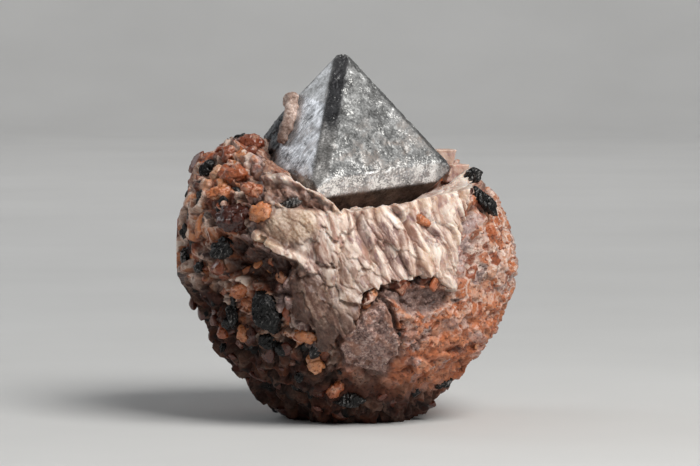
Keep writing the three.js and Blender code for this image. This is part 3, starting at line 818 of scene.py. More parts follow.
def calcite_relief(base, axes, at, blades, blocks, flakes):
    """The relief of the calcite's broken surface, before its edge is cut."""
    patchy = smoothstep(fractal(base, 5.0, 396, 3), -0.35, 0.35)
    relief = mix(blocks.relief, blades.relief + 0.45 * blocks.relief, at.ribbed)
    relief *= 1 - 0.7 * at.shelf
    relief += flakes.relief * mix(0.2, 0.75, patchy) * (1 - 0.45 * at.ribbed)
    relief += 0.9 * fractal(axes / np.array([1.0, 2.2, 1.0]), 6.0, 390, 3)
    blade_seam = (1 - smoothstep(blades.border, 0.0, 0.25)) * at.ribbed
    relief -= 0.40 * blade_seam * cell_random(blades.key, 354)
    relief -= 0.10 * (1 - smoothstep(flakes.border, 0.0, 0.14)) * patchy
    relief += 1.3 * at.crest - 1.0 * at.under_crest - 1.4 * at.trough + 0.6 * at.shelf
    relief += 1.0 * at.lip - 1.5 * at.recess + 0.5 * at.shelf * fractal(base, 2.2, 397, 4)
    broken = at.crest + at.under_crest + at.over_crest + at.shoulder
    facets = tilted_facets(base, 1.3, 404, 0.6, 0.6)
    relief += broken * (0.9 * fractal(base, 2.6, 399, 4) + facets.relief)
    return relief + 0.06 * fractal(axes / np.array([0.35, 1.4, 1.0]), 1.0, 395, 2)


def calcite_looks(base, at, blades, blocks, flakes, thin, low):
    # Painted shade in the crevices between the blocks and blades, and finer in those between
    # flakes.
    gap = mix(2.2 * blocks.border, blades.border, at.ribbed)
    crevice = (1 - smoothstep(gap, 0.0, 0.4)) * smoothstep(noise(base, 3.5, 401), -0.3, 0.5)
    fine_crevice = 0.35 * (1 - smoothstep(flakes.border, 0.0, 0.2))
    fine_crevice *= smoothstep(noise(base, 2.5, 402), 0.0, 0.6)
    tone = mix(cell_random(blocks.key, 5), cell_random(blades.key, 5), at.ribbed)
    # Painted highlight along the middle of each blade and painted shade down its sides, mixed with
    # the flakes' random tone.
    rib_highlight = np.clip(1.05 - 2.3 * np.abs(blades.across + 0.12 * noise(base, 2.0, 407)), 0, 1)
    tone_and_rib_highlight = mix(cell_random(flakes.key, 6), rib_highlight, 0.5 * at.ribbed)
    # Painted shade under the crest, in the trough and under the crystal's right corner.
    under_shade = np.max([at.under_crest, at.trough, at.corner], axis=0)
    # Darker towards the left edge, where the calcite thins, and towards the bottom.
    rim = np.maximum(at.left * (1 - thin), 0.9 * at.low_down) * (1 - at.lip)
    low = low * (1 - 0.8 * at.crest) * (1 - at.over_crest)
    return {
        "blade": tone, "flake": tone_and_rib_highlight, "crevice": np.maximum(crevice, fine_crevice),
        "shelf": at.shelf * (1 - at.crest), "under": under_shade, "low": low,
        "over": at.over_crest, "rim": rim, "dull": at.dull * (1 - at.lip), "mauve": at.mauve,
    }


def calcite_surface(directions):
    """Points of the calcite's surface along directions, its reach and its looks."""
    reach = body_reach(directions)
    base = BODY_CENTRE + directions * reach[:, None]
    places = seen_from_front(base)
    x, y, z = (base + fractal_vector(base, 6.5, 300) * np.array([2.0, 1.2, 1.6])).T
    axes = columns(*leaned(x, z), y)
    bent = fractal_vector(base, 2.4, 410)
    at = calcite_regions(base, places, bent)
    blades, blocks, flakes = blade_cells(axes), block_cells(axes, bent), flake_cells(axes)
    relief = calcite_relief(base, axes, at, blades, blocks, flakes)

    # A block is wholly in or out, by where its centre lies, so the lower edge is ragged.
    slip = columns(*leaned(*-blocks.offset[:, :2].T))
    whole = inside_outline(places + slip, CALCITE_OUTLINE)
    edge = calcite_depth(places, base)
    inside = smoothstep(mix(whole, edge, mix(0.45, 0.8, at.ribbed)), -0.35, 0.25)
    thin = smoothstep(edge + 1.2 * noise(base, 2.0, 405), 0.0, 5.0)
    blended = mix(-0.65, 0.75, smoothstep(edge + 0.8 * noise(base, 3.0, 398), 0.0, 5.0))
    lift = np.maximum(mix(0.85, blended, at.left), 0.7 * at.lip)
    relief = np.clip(lift + relief * 0.8, RELIEF_LOW, RELIEF_HIGH)
    relief = mix(RELIEF_OUTSIDE, relief, inside)
    # Painted shade in the low places of the relief and in the hollow at the left, not on the lip.
    low = np.maximum(smoothstep(-relief, -0.5, 1.1), at.recess) * (1 - at.lip)
    settled = settle_reach(directions, reach + relief - outline_trim(base))

    hang = 0.35 * np.clip(settled - reach - 0.4, 0, 2) * inside
    points = BODY_CENTRE + directions * settled[:, None]
    points += hang[:, None] * np.array([LEAN_COSINE, -0.25, -LEAN_SINE])
    return points, settled, calcite_looks(base, at, blades, blocks, flakes, thin, low)


def calcite_directions():
    """Unit directions of a square patch, in rows, on a stereographic plane about its pole."""
    pole = towards(*CALCITE_POLE)
    right = unit(np.cross(pole, np.array([0.0, 0.0, 1.0])))
    up = np.cross(right, pole)
    line = np.linspace(-CALCITE_SPREAD, CALCITE_SPREAD, CALCITE_ROWS)
    u, v = (grid.reshape(-1, 1) for grid in np.meshgrid(line, line, indexing="ij"))
    square = u**2 + v**2
    return (2 * u * right + 2 * v * up + (1 - square) * pole) / (1 + square)


def build_calcite(material):
    """The patch, closed behind by a rim and a point near the body's centre."""
    directions = calcite_directions()
    points, reach, looks = calcite_surface(directions)
    count = len(points)
    index = np.arange(count).reshape(CALCITE_ROWS, CALCITE_ROWS)
    rim = np.concatenate([index[:-1, 0], index[-1, :-1], index[:0:-1, -1], index[0, :0:-1]])
    sunk_reach = uncover_crystal(directions[rim], reach[rim] - CALCITE_BACKING)
    sunk = BODY_CENTRE + directions[rim] * sunk_reach[:, None]
    ring = count + np.arange(len(rim))
    tip = np.full(len(ring), count + len(rim))
    core = BODY_CENTRE + towards(*CALCITE_POLE) * CALCITE_CORE
    ahead, ring_ahead = np.roll(rim, -1), np.roll(ring, -1)
    points = np.concatenate([points, sunk, core[None]])
    faces = np.concatenate([
        grid_triangles(index),
        columns(rim, ahead, ring_ahead),
        columns(rim, ring_ahead, ring),
        columns(ring, ring_ahead, tip),
    ])
    looks = {name: np.pad(share, (0, len(points) - count)) for name, share in looks.items()}
    make_piece("calcite_bed_visual", points, faces, material, ["calcite_bed"], looks)


def grid_triangles(index):
    """Two triangles for each square of a grid of vertex numbers."""
    low, right = index[:-1, :-1].ravel(), index[1:, :-1].ravel()
    far, up = index[1:, 1:].ravel(), index[:-1, 1:].ravel()
    return np.concatenate([columns(low, far, right), columns(low, up, far)])


# ---- the crystal
CRYSTAL_ROWS = 140  # rows of triangles on each octahedron face
CRYSTAL_CRISPNESS = 260
CRYSTAL_LOOKS = {  # the faces that look different, by their normals
    "left": (-1, -1, 1), "right": (1, -1, 1), "strip": (0, -1, 1),
    "girdle": (1, -1, 0), "lower": (1, -1, -1), "broken": (-0.833, -0.351, 0.424),
}


def crystal_faces(own, normals, reaches):
    """How far each point belongs to each face that looks different, and how near an edge it is."""
    ahead = own @ normals.T - reaches
    closeness = np.exp((ahead - ahead.max(axis=1, keepdims=True)) / 0.12)
    closeness /= closeness.sum(axis=1, keepdims=True)
    share = SimpleNamespace(edge=np.clip(2.2 * (1 - closeness.max(axis=1)), 0, 1))
    for name, normal in CRYSTAL_LOOKS.items():
        setattr(share, name, closeness[:, np.argmax(normals @ unit(np.array(normal, float)))])
    return share


def crystal_relief(own, share):
    """Pits, etching, chipped edges and the broken face, cut into the crystal's planes."""
    worn = smoothstep(noise(own, 3.0, 520), -0.2, 0.7)
    pits = cells(warped(own, 1.0, 0.3, 530), 1.3, 533)
    pit = smoothstep(pits.border, 0.05, 0.35) * (cell_random(pits.key, 534) > 0.72)
    etched = tilted_facets(warped(own, 0.8, 0.25, 540), 0.7, 543, 0.07, 0.05).relief
    chunky = tilted_facets(own, 2.2, 561, 0.55, 0.6).relief
    chipping = smoothstep(fractal(own, 1.8, 550, 3), -0.05, 0.6)
    relief = 0.05 * fractal(own, 1.3, 500, 4, 0.65) - 0.06
    relief += etched * mix(0.2, 1.0, worn) - 0.10 * pit - 0.35 * share.edge * chipping
    relief += share.broken * (chunky * 0.8 - 0.35)
    relief -= 0.12 * share.left * (1 - smoothstep(own[:, 2], 15.4, 15.8))
    return np.minimum(relief, 0.0)


def build_crystal(material):
    directions, faces = octahedral_ball(CRYSTAL_ROWS)
    normals, reaches = crystal_planes()
    rising = np.maximum(0, directions @ normals.T / reaches)
    own = directions * crisp_reach(rising, CRYSTAL_CRISPNESS)[:, None]
    share = crystal_faces(own, normals, reaches)
    own = own + directions * crystal_relief(own, share)[:, None]
    corner = smoothstep(own[:, 0] + 0.9 * fractal(own, 2.0, 570, 3), 21.4, 22.6)
    share.broken = np.maximum(share.broken, 0.6 * corner)
    looks = {name: getattr(share, name) for name in CRYSTAL_LOOKS}
    looks["rise"] = (own[:, 2] + 10) / 36
    make_piece(
        "franklinite_crystal_visual", own @ crystal_axes().T + CRYSTAL_CENTRE, faces, material,
        ["franklinite_crystal"], looks,
    )


# ---- the named pieces, from their CAD nodes
GRAIN_EDGE = 0.3  # about the length of a grain's mesh edges
ICOSAHEDRON_ARC = 1.107  # radians between neighbouring corners of an icosahedron


def wrap_node(name):
    """A fine ball drawn onto a CAD node from its middle: points, directions and triangles."""
    points, triangles = node_triangles(name)
    tree = BVHTree.FromPolygons(points, triangles)
    middle = sum(points, Vector()) / len(points)
    size = max((point - middle).length for point in points)
    directions, faces = geodesic_ball(max(6, round(size * ICOSAHEDRON_ARC / GRAIN_EDGE)))
    reach = []
    for direction in directions:
        hit = tree.ray_cast(middle, Vector(direction))[3]
        reach.append(hit if hit is not None else 0.3 * size)
    return np.array(middle) + directions * np.array(reach)[:, None], directions, faces


GRAIN_TINTS = {  # from 0, the darkest red, to 1, the palest amber; the rest are drawn at random
    "big_red": 0.0, "bright_end": 0.70, "orange": 0.60, "amber": 0.80, "amber_small": 0.72,
    "long_amber": 0.70, "peak": 0.22, "second": 0.30, "third": 0.42, "pale": 0.96, "ridge": 0.45,
    "in_calcite": 0.6, "right": 0.5, "foot": 0.5, "left_low": 0.7, "left_mid": 0.6,
}
PLATE_LOOKS = {
    "blade": 0.40, "flake": 0.35, "crevice": 0, "shelf": 0, "under": 0, "low": 0, "over": 0,
    "rim": 0, "dull": 0, "mauve": 0,
}
PLATE_ROUGHNESS = 0.35
STRIATION_DEPTH, STRIATION_SPACING = 0.26, 0.75


def grain_tint(name, salt):
    for kind in GRAIN_KINDS:
        plain = name.removeprefix(kind + "_")
        if plain in GRAIN_TINTS:
            return GRAIN_TINTS[plain]
    return cell_random(np.array([[salt, 1, 2]]), 3)[0]


def build_grain(name, material, slot, salt, striation=0.0):
    points, directions, faces = wrap_node(name)
    turn = Matrix.Rotation(salt * 1.7, 3, "Z") @ Matrix.Rotation(salt * 0.9, 3, "X")
    lined = points @ np.array(turn)
    relief = tilted_facets(warped(lined, 1.0, 0.2, salt), 1.8, salt + 3, 0.36, 0.20).relief
    relief += tilted_facets(lined, 0.9, salt + 23, 0.22, 0.08).relief
    relief += 0.05 * fractal(lined, 0.8, salt + 5, 3) - 0.02
    across = lined[:, 0] + 0.35 * noise(lined, 1.6, salt + 8)
    relief += striation * np.sin(across * 2 * math.pi / STRIATION_SPACING)
    looks = {"tint": grain_tint(name, salt)}
    if slot == "calcite":
        relief *= PLATE_ROUGHNESS
        looks = PLATE_LOOKS
    points = points + directions * np.minimum(relief, 0.25)[:, None]
    make_piece(f"{name}_visual", points, faces, material, [name], looks)


CRUST_CLOSING = 0.8  # how far the lumps grow and shrink again, to fill the necks between them


def build_crust(material):
    """The crust's lumps melted into one by a fine remesh."""
    source = add_object("crust_source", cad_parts["calcite_crust"].data.copy())
    for number, growth in enumerate((CRUST_CLOSING, -CRUST_CLOSING)):
        melt = source.modifiers.new(f"melt_{number}", "REMESH")
        melt.mode, melt.voxel_size = "VOXEL", 0.17 * METRES
        grow = source.modifiers.new(f"grow_{number}", "DISPLACE")
        grow.mid_level, grow.strength = 0.0, growth * METRES
    smooth = source.modifiers.new("smooth", "SMOOTH")
    smooth.factor, smooth.iterations = 0.8, 20
    made = source.evaluated_get(bpy.context.evaluated_depsgraph_get()).to_mesh()
    made.calc_loop_triangles()
    points = np.array([vertex.co for vertex in made.vertices]) / METRES
    normals = np.array([vertex.normal for vertex in made.vertices])
    faces = np.array([triangle.vertices[:] for triangle in made.loop_triangles])
    bpy.data.objects.remove(source)
    relief = 0.60 * fractal(points, 1.9, 820, 4) + 0.45
    points = warped(points, 3.0, 0.45, 830) + normals * relief[:, None]
    name = "calcite_crust"
    make_piece(f"{name}_visual", points, faces, material, [name])


# ---- materials
class Shader:
    """One material, its nodes made from left to right."""

    def __init__(self, name):
        self.material = bpy.data.materials.new(name)
        self.material.use_nodes = True
        self.tree = self.material.node_tree
        self.tree.nodes.clear()
        self.place = self.node("ShaderNodeTexCoord").outputs["Object"]

    def node(self, kind, inputs=None, **settings):
        made = self.tree.nodes.new(kind)
        for key, value in settings.items():
            setattr(made, key, value)
        for key, value in (inputs or {}).items():
            socket = made.inputs[key]
            if isinstance(value, bpy.types.NodeSocket):
                self.tree.links.new(value, socket)
            else:
                socket.default_value = value
        return made

    def looks(self, *names):
        """The looks that a piece was made with."""
        read = {name: self.node("ShaderNodeAttribute", attribute_name=name) for name in names}
        return SimpleNamespace(**{name: made.outputs["Fac"] for name, made in read.items()})

    def stretched(self, turn, stretch):
        """The place, measured along turned axes that are stretched."""
        turn = [math.radians(angle) for angle in turn]
        inputs = {"Vector": self.place, "Rotation": turn, "Scale": stretch}
        return self.node("ShaderNodeMapping", inputs, vector_type="TEXTURE").outputs[0]

    def texture(self, kind, size, place=None, inputs=None, **settings):
        """A texture whose pattern is size millimetres across."""
        scaled = {"Vector": place or self.place, "Scale": 1 / (size * METRES)}
        return self.node(kind, {**scaled, **(inputs or {})}, **settings).outputs

    def vectors(self, operation, a, key, b):
        return self.node("ShaderNodeVectorMath", {0: a, key: b}, operation=operation).outputs[0]

    def pushed(self, size, amount):
        """The place, pushed about by noise."""
        push = self.texture("ShaderNodeTexNoise", size)["Color"]
        centred = self.vectors("SUBTRACT", push, 1, (0.5, 0.5, 0.5))
        sized = self.vectors("SCALE", centred, "Scale", amount * METRES)
        return self.vectors("ADD", self.place, 1, sized)

    def noise(self, size, detail=4.0, rough=0.55, bend=0.0, place=None):
        inputs = {"Detail": detail, "Roughness": rough, "Distortion": bend}
        return self.texture("ShaderNodeTexNoise", size, place, inputs)["Fac"]

    def cells(self, size, place=None, feature="F1", output="Distance"):
        return self.texture("ShaderNodeTexVoronoi", size, place, feature=feature)[output]

    def web(self, size, place, low, high):
        """Lines between cells: 1 on a line, 0 away from it."""
        edge = self.cells(size, place, "DISTANCE_TO_EDGE")
        return self.curve(edge, low, high, 1.0, 0.0)

    def cell_value(self, size, place=None):
        """A random number for each cell."""
        colour = self.cells(size, place, output="Color")
        return self.node("ShaderNodeSeparateColor", {0: colour}).outputs[0]

    def height(self):
        return self.node("ShaderNodeSeparateXYZ", {0: self.place}).outputs[2]

    def ramp(self, factor, stops):
        made = self.node("ShaderNodeValToRGB", {"Fac": factor})
        ends = made.color_ramp.elements
        while len(ends) < len(stops):
            ends.new(0.5)
        for end, (position, colour) in zip(ends, stops):
            end.position = position
            end.color = (*colour, 1)
        return made.outputs["Color"]

    def curve(self, factor, low, high, to_low=0.0, to_high=1.0):
        """A smooth step of factor between low and high."""
        inputs = dict(enumerate((factor, low, high, to_low, to_high)))
        kind = "SMOOTHSTEP"
        return self.node("ShaderNodeMapRange", inputs, interpolation_type=kind).outputs[0]

    def blend(self, factor, a, b, kind="MIX"):
        made = self.node("ShaderNodeMix", {0: factor}, data_type="RGBA", blend_type=kind)
        for index, value in ((6, a), (7, b)):
            if isinstance(value, bpy.types.NodeSocket):
                self.tree.links.new(value, made.inputs[index])
            else:
                made.inputs[index].default_value = (*value, 1)
        return made.outputs[2]

    def maths(self, operation, a, b=0.0, clamp=False):
        made = self.node("ShaderNodeMath", {0: a, 1: b}, operation=operation, use_clamp=clamp)
        return made.outputs[0]

    def less(self, value):
        """What is left of 1."""
        return self.maths("SUBTRACT", 1.0, value)

    def multiply_tint(self, factor, colour, tint):
        """A colour multiplied by a tint, as much as factor says."""
        return self.blend(factor, colour, self.blend(1.0, colour, tint, "MULTIPLY"))

    def times(self, *values):
        made = values[0]
        for value in values[1:]:
            made = self.maths("MULTIPLY", made, value)
        return made

    def plus(self, *values):
        made = values[0]
        for value in values[1:]:
            made = self.maths("ADD", made, value)
        return made

    def weighted(self, *pairs):
        """The sum of values, each times its weight."""
        return self.plus(*(self.times(value, weight) for value, weight in pairs))

    def bump(self, height, depth, strength):
        inputs = {"Height": height, "Distance": depth * METRES, "Strength": strength}
        return self.node("ShaderNodeBump", inputs).outputs[0]

    def finish(self, **inputs):
        named = {key.replace("_", " "): value for key, value in inputs.items()}
        surface = self.node("ShaderNodeBsdfPrincipled", named)
        self.node("ShaderNodeOutputMaterial", {"Surface": surface.outputs[0]})
        return self.material


def packed_ore(s, at):
    """Willemite grains of many reds, pressed together, with pink calcite between them."""
    colour = s.ramp(s.weighted((at.kind, 0.75), (s.cell_value(2.6, at.bent), 0.25)), [
        (0.12, (0.008, 0.005, 0.004)), (0.21, (0.07, 0.017, 0.008)), (0.34, (0.22, 0.052, 0.018)),
        (0.50, (0.43, 0.110, 0.034)), (0.66, (0.62, 0.22, 0.075)), (0.80, (0.60, 0.34, 0.22)),
        (0.90, (0.90, 0.72, 0.61)),
    ])
    deeper = s.blend(1.0, colour, (0.34, 0.26, 0.24), "MULTIPLY")
    bright = s.curve(s.weighted((at.tone, 0.5), (at.fine, 0.5)), 0.25, 0.75)
    colour = s.blend(bright, deeper, colour)
    seams = s.maths("MAXIMUM", at.seam, s.web(2.6, at.bent, 0.02, 0.13))
    seamed = s.maths("MAXIMUM", s.curve(at.broad, 0.40, 0.60), at.veil)
    pale_pink = s.ramp(at.fine, [(0.3, (0.50, 0.29, 0.21)), (0.7, (0.84, 0.66, 0.56))])
    return s.blend(s.times(seams, seamed, 0.95), colour, pale_pink)


def sugary_ore(s, at):
    """Fine orange grains in a web of pale calcite, which thins out lower down."""
    tone = s.weighted((s.cell_value(2.9, at.bent), 0.7), (at.speck, 0.13), (at.fine, 0.22))
    colour = s.ramp(tone, [
        (0.08, (0.13, 0.031, 0.013)), (0.24, (0.27, 0.069, 0.026)), (0.42, (0.43, 0.130, 0.048)),
        (0.58, (0.50, 0.19, 0.086)), (0.70, (0.51, 0.28, 0.19)), (0.80, (0.27, 0.185, 0.175)),
        (0.92, (0.57, 0.42, 0.37)),
    ])
    upper = s.curve(s.height(), 0.012, 0.034, 0.15, 1.0)
    fine_web = s.web(0.9, s.pushed(0.8, 0.5), 0.02, 0.16)
    middling, low = at.middling, s.less(upper)
    for factors, tint in (
        ((s.web(2.9, at.bent, 0.02, 0.13), s.curve(middling, 0.36, 0.56), upper, 0.9),
         (0.62, 0.45, 0.38)),
        ((fine_web, s.curve(at.broad, 0.40, 0.60), upper, 0.38), (0.54, 0.36, 0.29)),
        ((s.curve(s.cell_value(1.0), 0.80, 0.86), s.curve(at.fine, 0.35, 0.55), upper, 0.8),
         (0.80, 0.64, 0.55)),
        ((low, s.curve(middling, 0.36, 0.52), 0.65), (0.50, 0.150, 0.055)),
        ((s.curve(at.speck, 0.16, 0.10), s.curve(middling, 0.60, 0.45), 0.8),
         (0.12, 0.035, 0.018)),
    ):
        colour = s.blend(s.times(*factors), colour, tint)
    return colour


def purple_ore(s, at):
    colour = s.ramp(s.weighted((at.speck, 0.4), (at.fine, 0.6)), [
        (0.2, (0.07, 0.034, 0.030)), (0.45, (0.25, 0.145, 0.122)), (0.62, (0.40, 0.26, 0.22)),
        (0.8, (0.62, 0.48, 0.43)),
    ])
    return s.blend(s.times(s.curve(at.middling, 0.52, 0.62), 0.5), colour, (0.30, 0.12, 0.06))


def ore_material():
    s = Shader("willemite_ore")
    at = s.looks(
        "kind", "tone", "seam", "sugar", "purple", "veil", "hollow", "recess", "dark", "umber"
    )
    at.fine, at.middling = s.noise(0.5, 5, 0.65), s.noise(2.6, 4, 0.6)
    at.broad, at.speck, at.bent = s.noise(7.0, 4, 0.6), s.cell_value(0.42), s.pushed(1.6, 1.4)
    colour = s.blend(at.sugar, packed_ore(s, at), sugary_ore(s, at))
    colour = s.blend(at.purple, colour, purple_ore(s, at))
    lilac = s.ramp(at.fine, [(0.3, (0.20, 0.120, 0.110)), (0.7, (0.60, 0.46, 0.44))])
    colour = s.blend(s.times(at.veil, s.curve(at.middling, 0.32, 0.50), 0.92), colour, lilac)
    # Painted shade in the hollow at the left.
    shaded = s.ramp(at.fine, [(0.3, (0.035, 0.012, 0.007)), (0.75, (0.19, 0.070, 0.038))])
    colour = s.blend(s.times(at.recess, 0.85), colour, shaded)
    # Painted shade in the hollows.
    colour = s.multiply_tint(s.times(at.hollow, 0.75), colour, (0.20, 0.13, 0.11))
    # Painted shade and shadow in the crack, under the ledge, under the crystal's corner and round
    # the purple patch.
    painted_shade_tone = s.ramp(s.weighted((at.fine, 0.5), (at.middling, 0.5)), [
        (0.36, (0.035, 0.018, 0.015)), (0.50, (0.16, 0.095, 0.080)), (0.64, (0.44, 0.30, 0.26)),
    ])
    colour = s.blend(s.times(at.dark, 0.85), colour, painted_shade_tone)
    # Painted shade: the lower left and the bottom darkened, and made rough so they keep no
    # highlights.
    colour = s.multiply_tint(s.times(at.umber, 0.95), colour, (0.10, 0.06, 0.045))
    gloss = s.curve(s.weighted((at.fine, 0.5), (at.speck, 0.5)), 0.2, 0.8, 0.32, 0.72)
    height = s.weighted((s.noise(0.8, 5, 0.7), 0.6), (s.cells(0.6), 0.5))
    return s.finish(
        Base_Color=colour, Roughness=s.maths("MAXIMUM", gloss, s.times(at.umber, 0.9)),
        Normal=s.bump(height, 0.30, 0.7),
        Subsurface_Weight=0.12, Subsurface_Radius=(1.0, 0.45, 0.25), Subsurface_Scale=0.0008,
    )


def calcite_tints(s, at):
    """The calcite's own colours, before painted shade, darker edges and the rusty patch go over
    them.
    """
    tone = s.weighted((at.blade, 0.20), (at.flake, 0.34), (at.streak, 0.5))
    colour = s.ramp(tone, [
        (0.22, (0.20, 0.096, 0.066)), (0.36, (0.39, 0.245, 0.185)), (0.49, (0.60, 0.450, 0.375)),
        (0.62, (0.79, 0.66, 0.575)), (0.80, (0.92, 0.83, 0.76)),
    ])
    valley = s.curve(at.flake, 0.80, 0.30)
    rosy = s.times(s.curve(at.broad, 0.48, 0.62), s.curve(at.streak, 0.60, 0.40), valley, 0.85)
    colour = s.blend(rosy, colour, (0.50, 0.28, 0.23))
    lilac = s.curve(s.noise(4.0, 3, 0.5), 0.53, 0.64)
    lilac = s.times(lilac, s.curve(at.streak, 0.62, 0.42), valley)
    colour = s.blend(lilac, colour, (0.32, 0.20, 0.20))
    ochre = s.curve(s.noise(5.0, 4, 0.6, 0.4), 0.56, 0.66)
    colour = s.blend(s.times(ochre, s.curve(at.fine, 0.35, 0.6), 0.5), colour, (0.60, 0.40, 0.24))
    dark_mauve = s.blend(s.curve(at.streak, 0.42, 0.60), (0.22, 0.125, 0.115), (0.66, 0.49, 0.43))
    mauve = s.times(at.mauve, s.plus(s.times(valley, 0.5), 0.4))
    colour = s.blend(mauve, colour, dark_mauve)
    tan = s.blend(s.curve(at.fine, 0.38, 0.62), (0.42, 0.26, 0.15), (0.72, 0.57, 0.43))
    return s.blend(s.times(at.shelf, 0.8), colour, tan)


def calcite_material():
    s = Shader("pink_calcite")
    at = s.looks(*PLATE_LOOKS)
    along = s.stretched((0, -(90 - BLADE_LEAN), 0), (1.0, 1.0, 3.6))
    at.fine, at.streak = s.noise(0.6, 5, 0.6), s.noise(0.8, 5, 0.65, 0.3, along)
    at.broad = s.noise(6.0, 4, 0.6)
    colour = calcite_tints(s, at)
    cloud = s.curve(s.noise(1.6, 5, 0.65), 0.38, 0.62)
    under_shade = s.blend(cloud, (0.075, 0.035, 0.026), (0.34, 0.20, 0.16))
    earthy = s.ramp(s.noise(1.2, 5, 0.65, 0.4), [
        (0.34, (0.06, 0.024, 0.018)), (0.48, (0.30, 0.095, 0.045)), (0.57, (0.42, 0.22, 0.15)),
        (0.66, (0.62, 0.47, 0.38)),
    ])
    patches = s.curve(s.noise(2.4, 5, 0.65), 0.40, 0.60)
    darker_edge_tone = s.blend(patches, (0.10, 0.045, 0.030), (0.42, 0.25, 0.18))
    brown = s.curve(s.noise(2.6, 4, 0.6, 0.5), 0.44, 0.58)
    # Over the calcite's own colours: painted shade under the crest, in the trough, under the
    # crystal's corner, in the crevices and low places and over the lower left; a rusty patch over
    # the crest; and darker tones near the left edge and the bottom.
    for factor, tint in (
        (s.times(at.under, 0.9), under_shade), (s.times(at.over, 0.95), earthy),
        (s.times(at.crevice, s.curve(at.fine, 0.25, 0.55), 0.75), (0.25, 0.12, 0.08)),
        (s.times(at.low, 0.7), (0.27, 0.145, 0.105)), (s.times(at.rim, 0.8), darker_edge_tone),
        (s.times(at.dull, brown, 0.75), (0.26, 0.135, 0.095)),
    ):
        colour = s.blend(factor, colour, tint)
    # More painted shade over the lower left, lighter where the fine noise is high.
    down_left_shade_amount = s.times(at.dull, s.curve(at.fine, 0.25, 0.65, 1.0, 0.72))
    colour = s.multiply_tint(down_left_shade_amount, colour, (0.21, 0.125, 0.090))
    height = s.weighted((at.streak, 0.7), (s.noise(0.25, 3, 0.6), 0.3))
    return s.finish(
        Base_Color=colour, Roughness=s.curve(at.fine, 0.3, 0.7, 0.34, 0.6),
        Normal=s.bump(height, 0.22, 0.6),
        Subsurface_Weight=0.5, Subsurface_Radius=(1.0, 0.7, 0.5), Subsurface_Scale=0.0016,
    )


def crystal_tints(s, at):
    """The metal's greys: the right face, and painted light on the others: a brighter left face
    with painted shade at its foot, a dark strip and a bright girdle.
    """
    colour = s.ramp(at.pattern, [
        (0.38, (0.040, 0.040, 0.040)), (0.46, (0.125, 0.126, 0.126)), (0.53, (0.23, 0.232, 0.232)),
        (0.61, (0.40, 0.403, 0.403)), (0.68, (0.62, 0.623, 0.62)),
    ])
    # Painted reflection: the left face is a brighter, bluish copy of the metal, with painted shade
    # at its foot.
    left_face_reflection = s.ramp(s.weighted((at.pattern, 0.75), (at.scratch, 0.25)), [
        (0.38, (0.07, 0.071, 0.074)), (0.45, (0.30, 0.307, 0.32)), (0.52, (0.62, 0.630, 0.655)),
        (0.60, (0.95, 0.96, 0.99)),
    ])
    base_shade = s.blend(s.curve(at.rise, 0.42, 0.22), (1.0, 1.0, 1.0), (0.50, 0.47, 0.45))
    left_face_reflection = s.blend(1.0, left_face_reflection, base_shade, "MULTIPLY")
    colour = s.blend(at.left, colour, left_face_reflection)
    panel = s.times(at.left, s.curve(at.rise, 0.700, 0.712))
    colour = s.blend(s.times(panel, 0.55), colour, (0.46, 0.455, 0.445))
    # Painted dark reflection along the upper part of the strip.
    strip_dark_reflection = s.ramp(at.pattern, [
        (0.38, (0.012, 0.012, 0.014)), (0.56, (0.055, 0.055, 0.060)), (0.66, (0.21, 0.21, 0.21)),
    ])
    colour = s.blend(s.times(at.strip, at.solid), colour, strip_dark_reflection)
    # Painted light: the girdle is a much brighter copy of the metal.
    shining = s.ramp(at.pattern, [
        (0.38, (0.20, 0.202, 0.206)), (0.49, (0.58, 0.588, 0.60)), (0.60, (0.94, 0.95, 0.97)),
    ])
    return s.blend(s.times(at.girdle, 0.9), colour, shining)


def crystal_flecks(s, at):
    """White flecks, thickest on the girdle and low on the right face."""
    chance = s.weighted((s.noise(0.42, 5, 0.7, 0.3), 0.60), (s.noise(2.4, 3, 0.5), 0.40))
    lowest = s.curve(at.rise, 0.42, 0.28)
    amount = s.plus(s.times(at.girdle, 0.120), s.times(at.right, s.less(at.top), 0.015),
                    s.times(at.right, lowest, 0.085))
    fleck = s.curve(s.plus(chance, amount), 0.570, 0.660)
    fleck = s.times(fleck, s.curve(at.fine, 0.36, 0.54, 0.45, 1.0))
    return s.times(fleck, s.less(at.broken), s.less(at.lower))


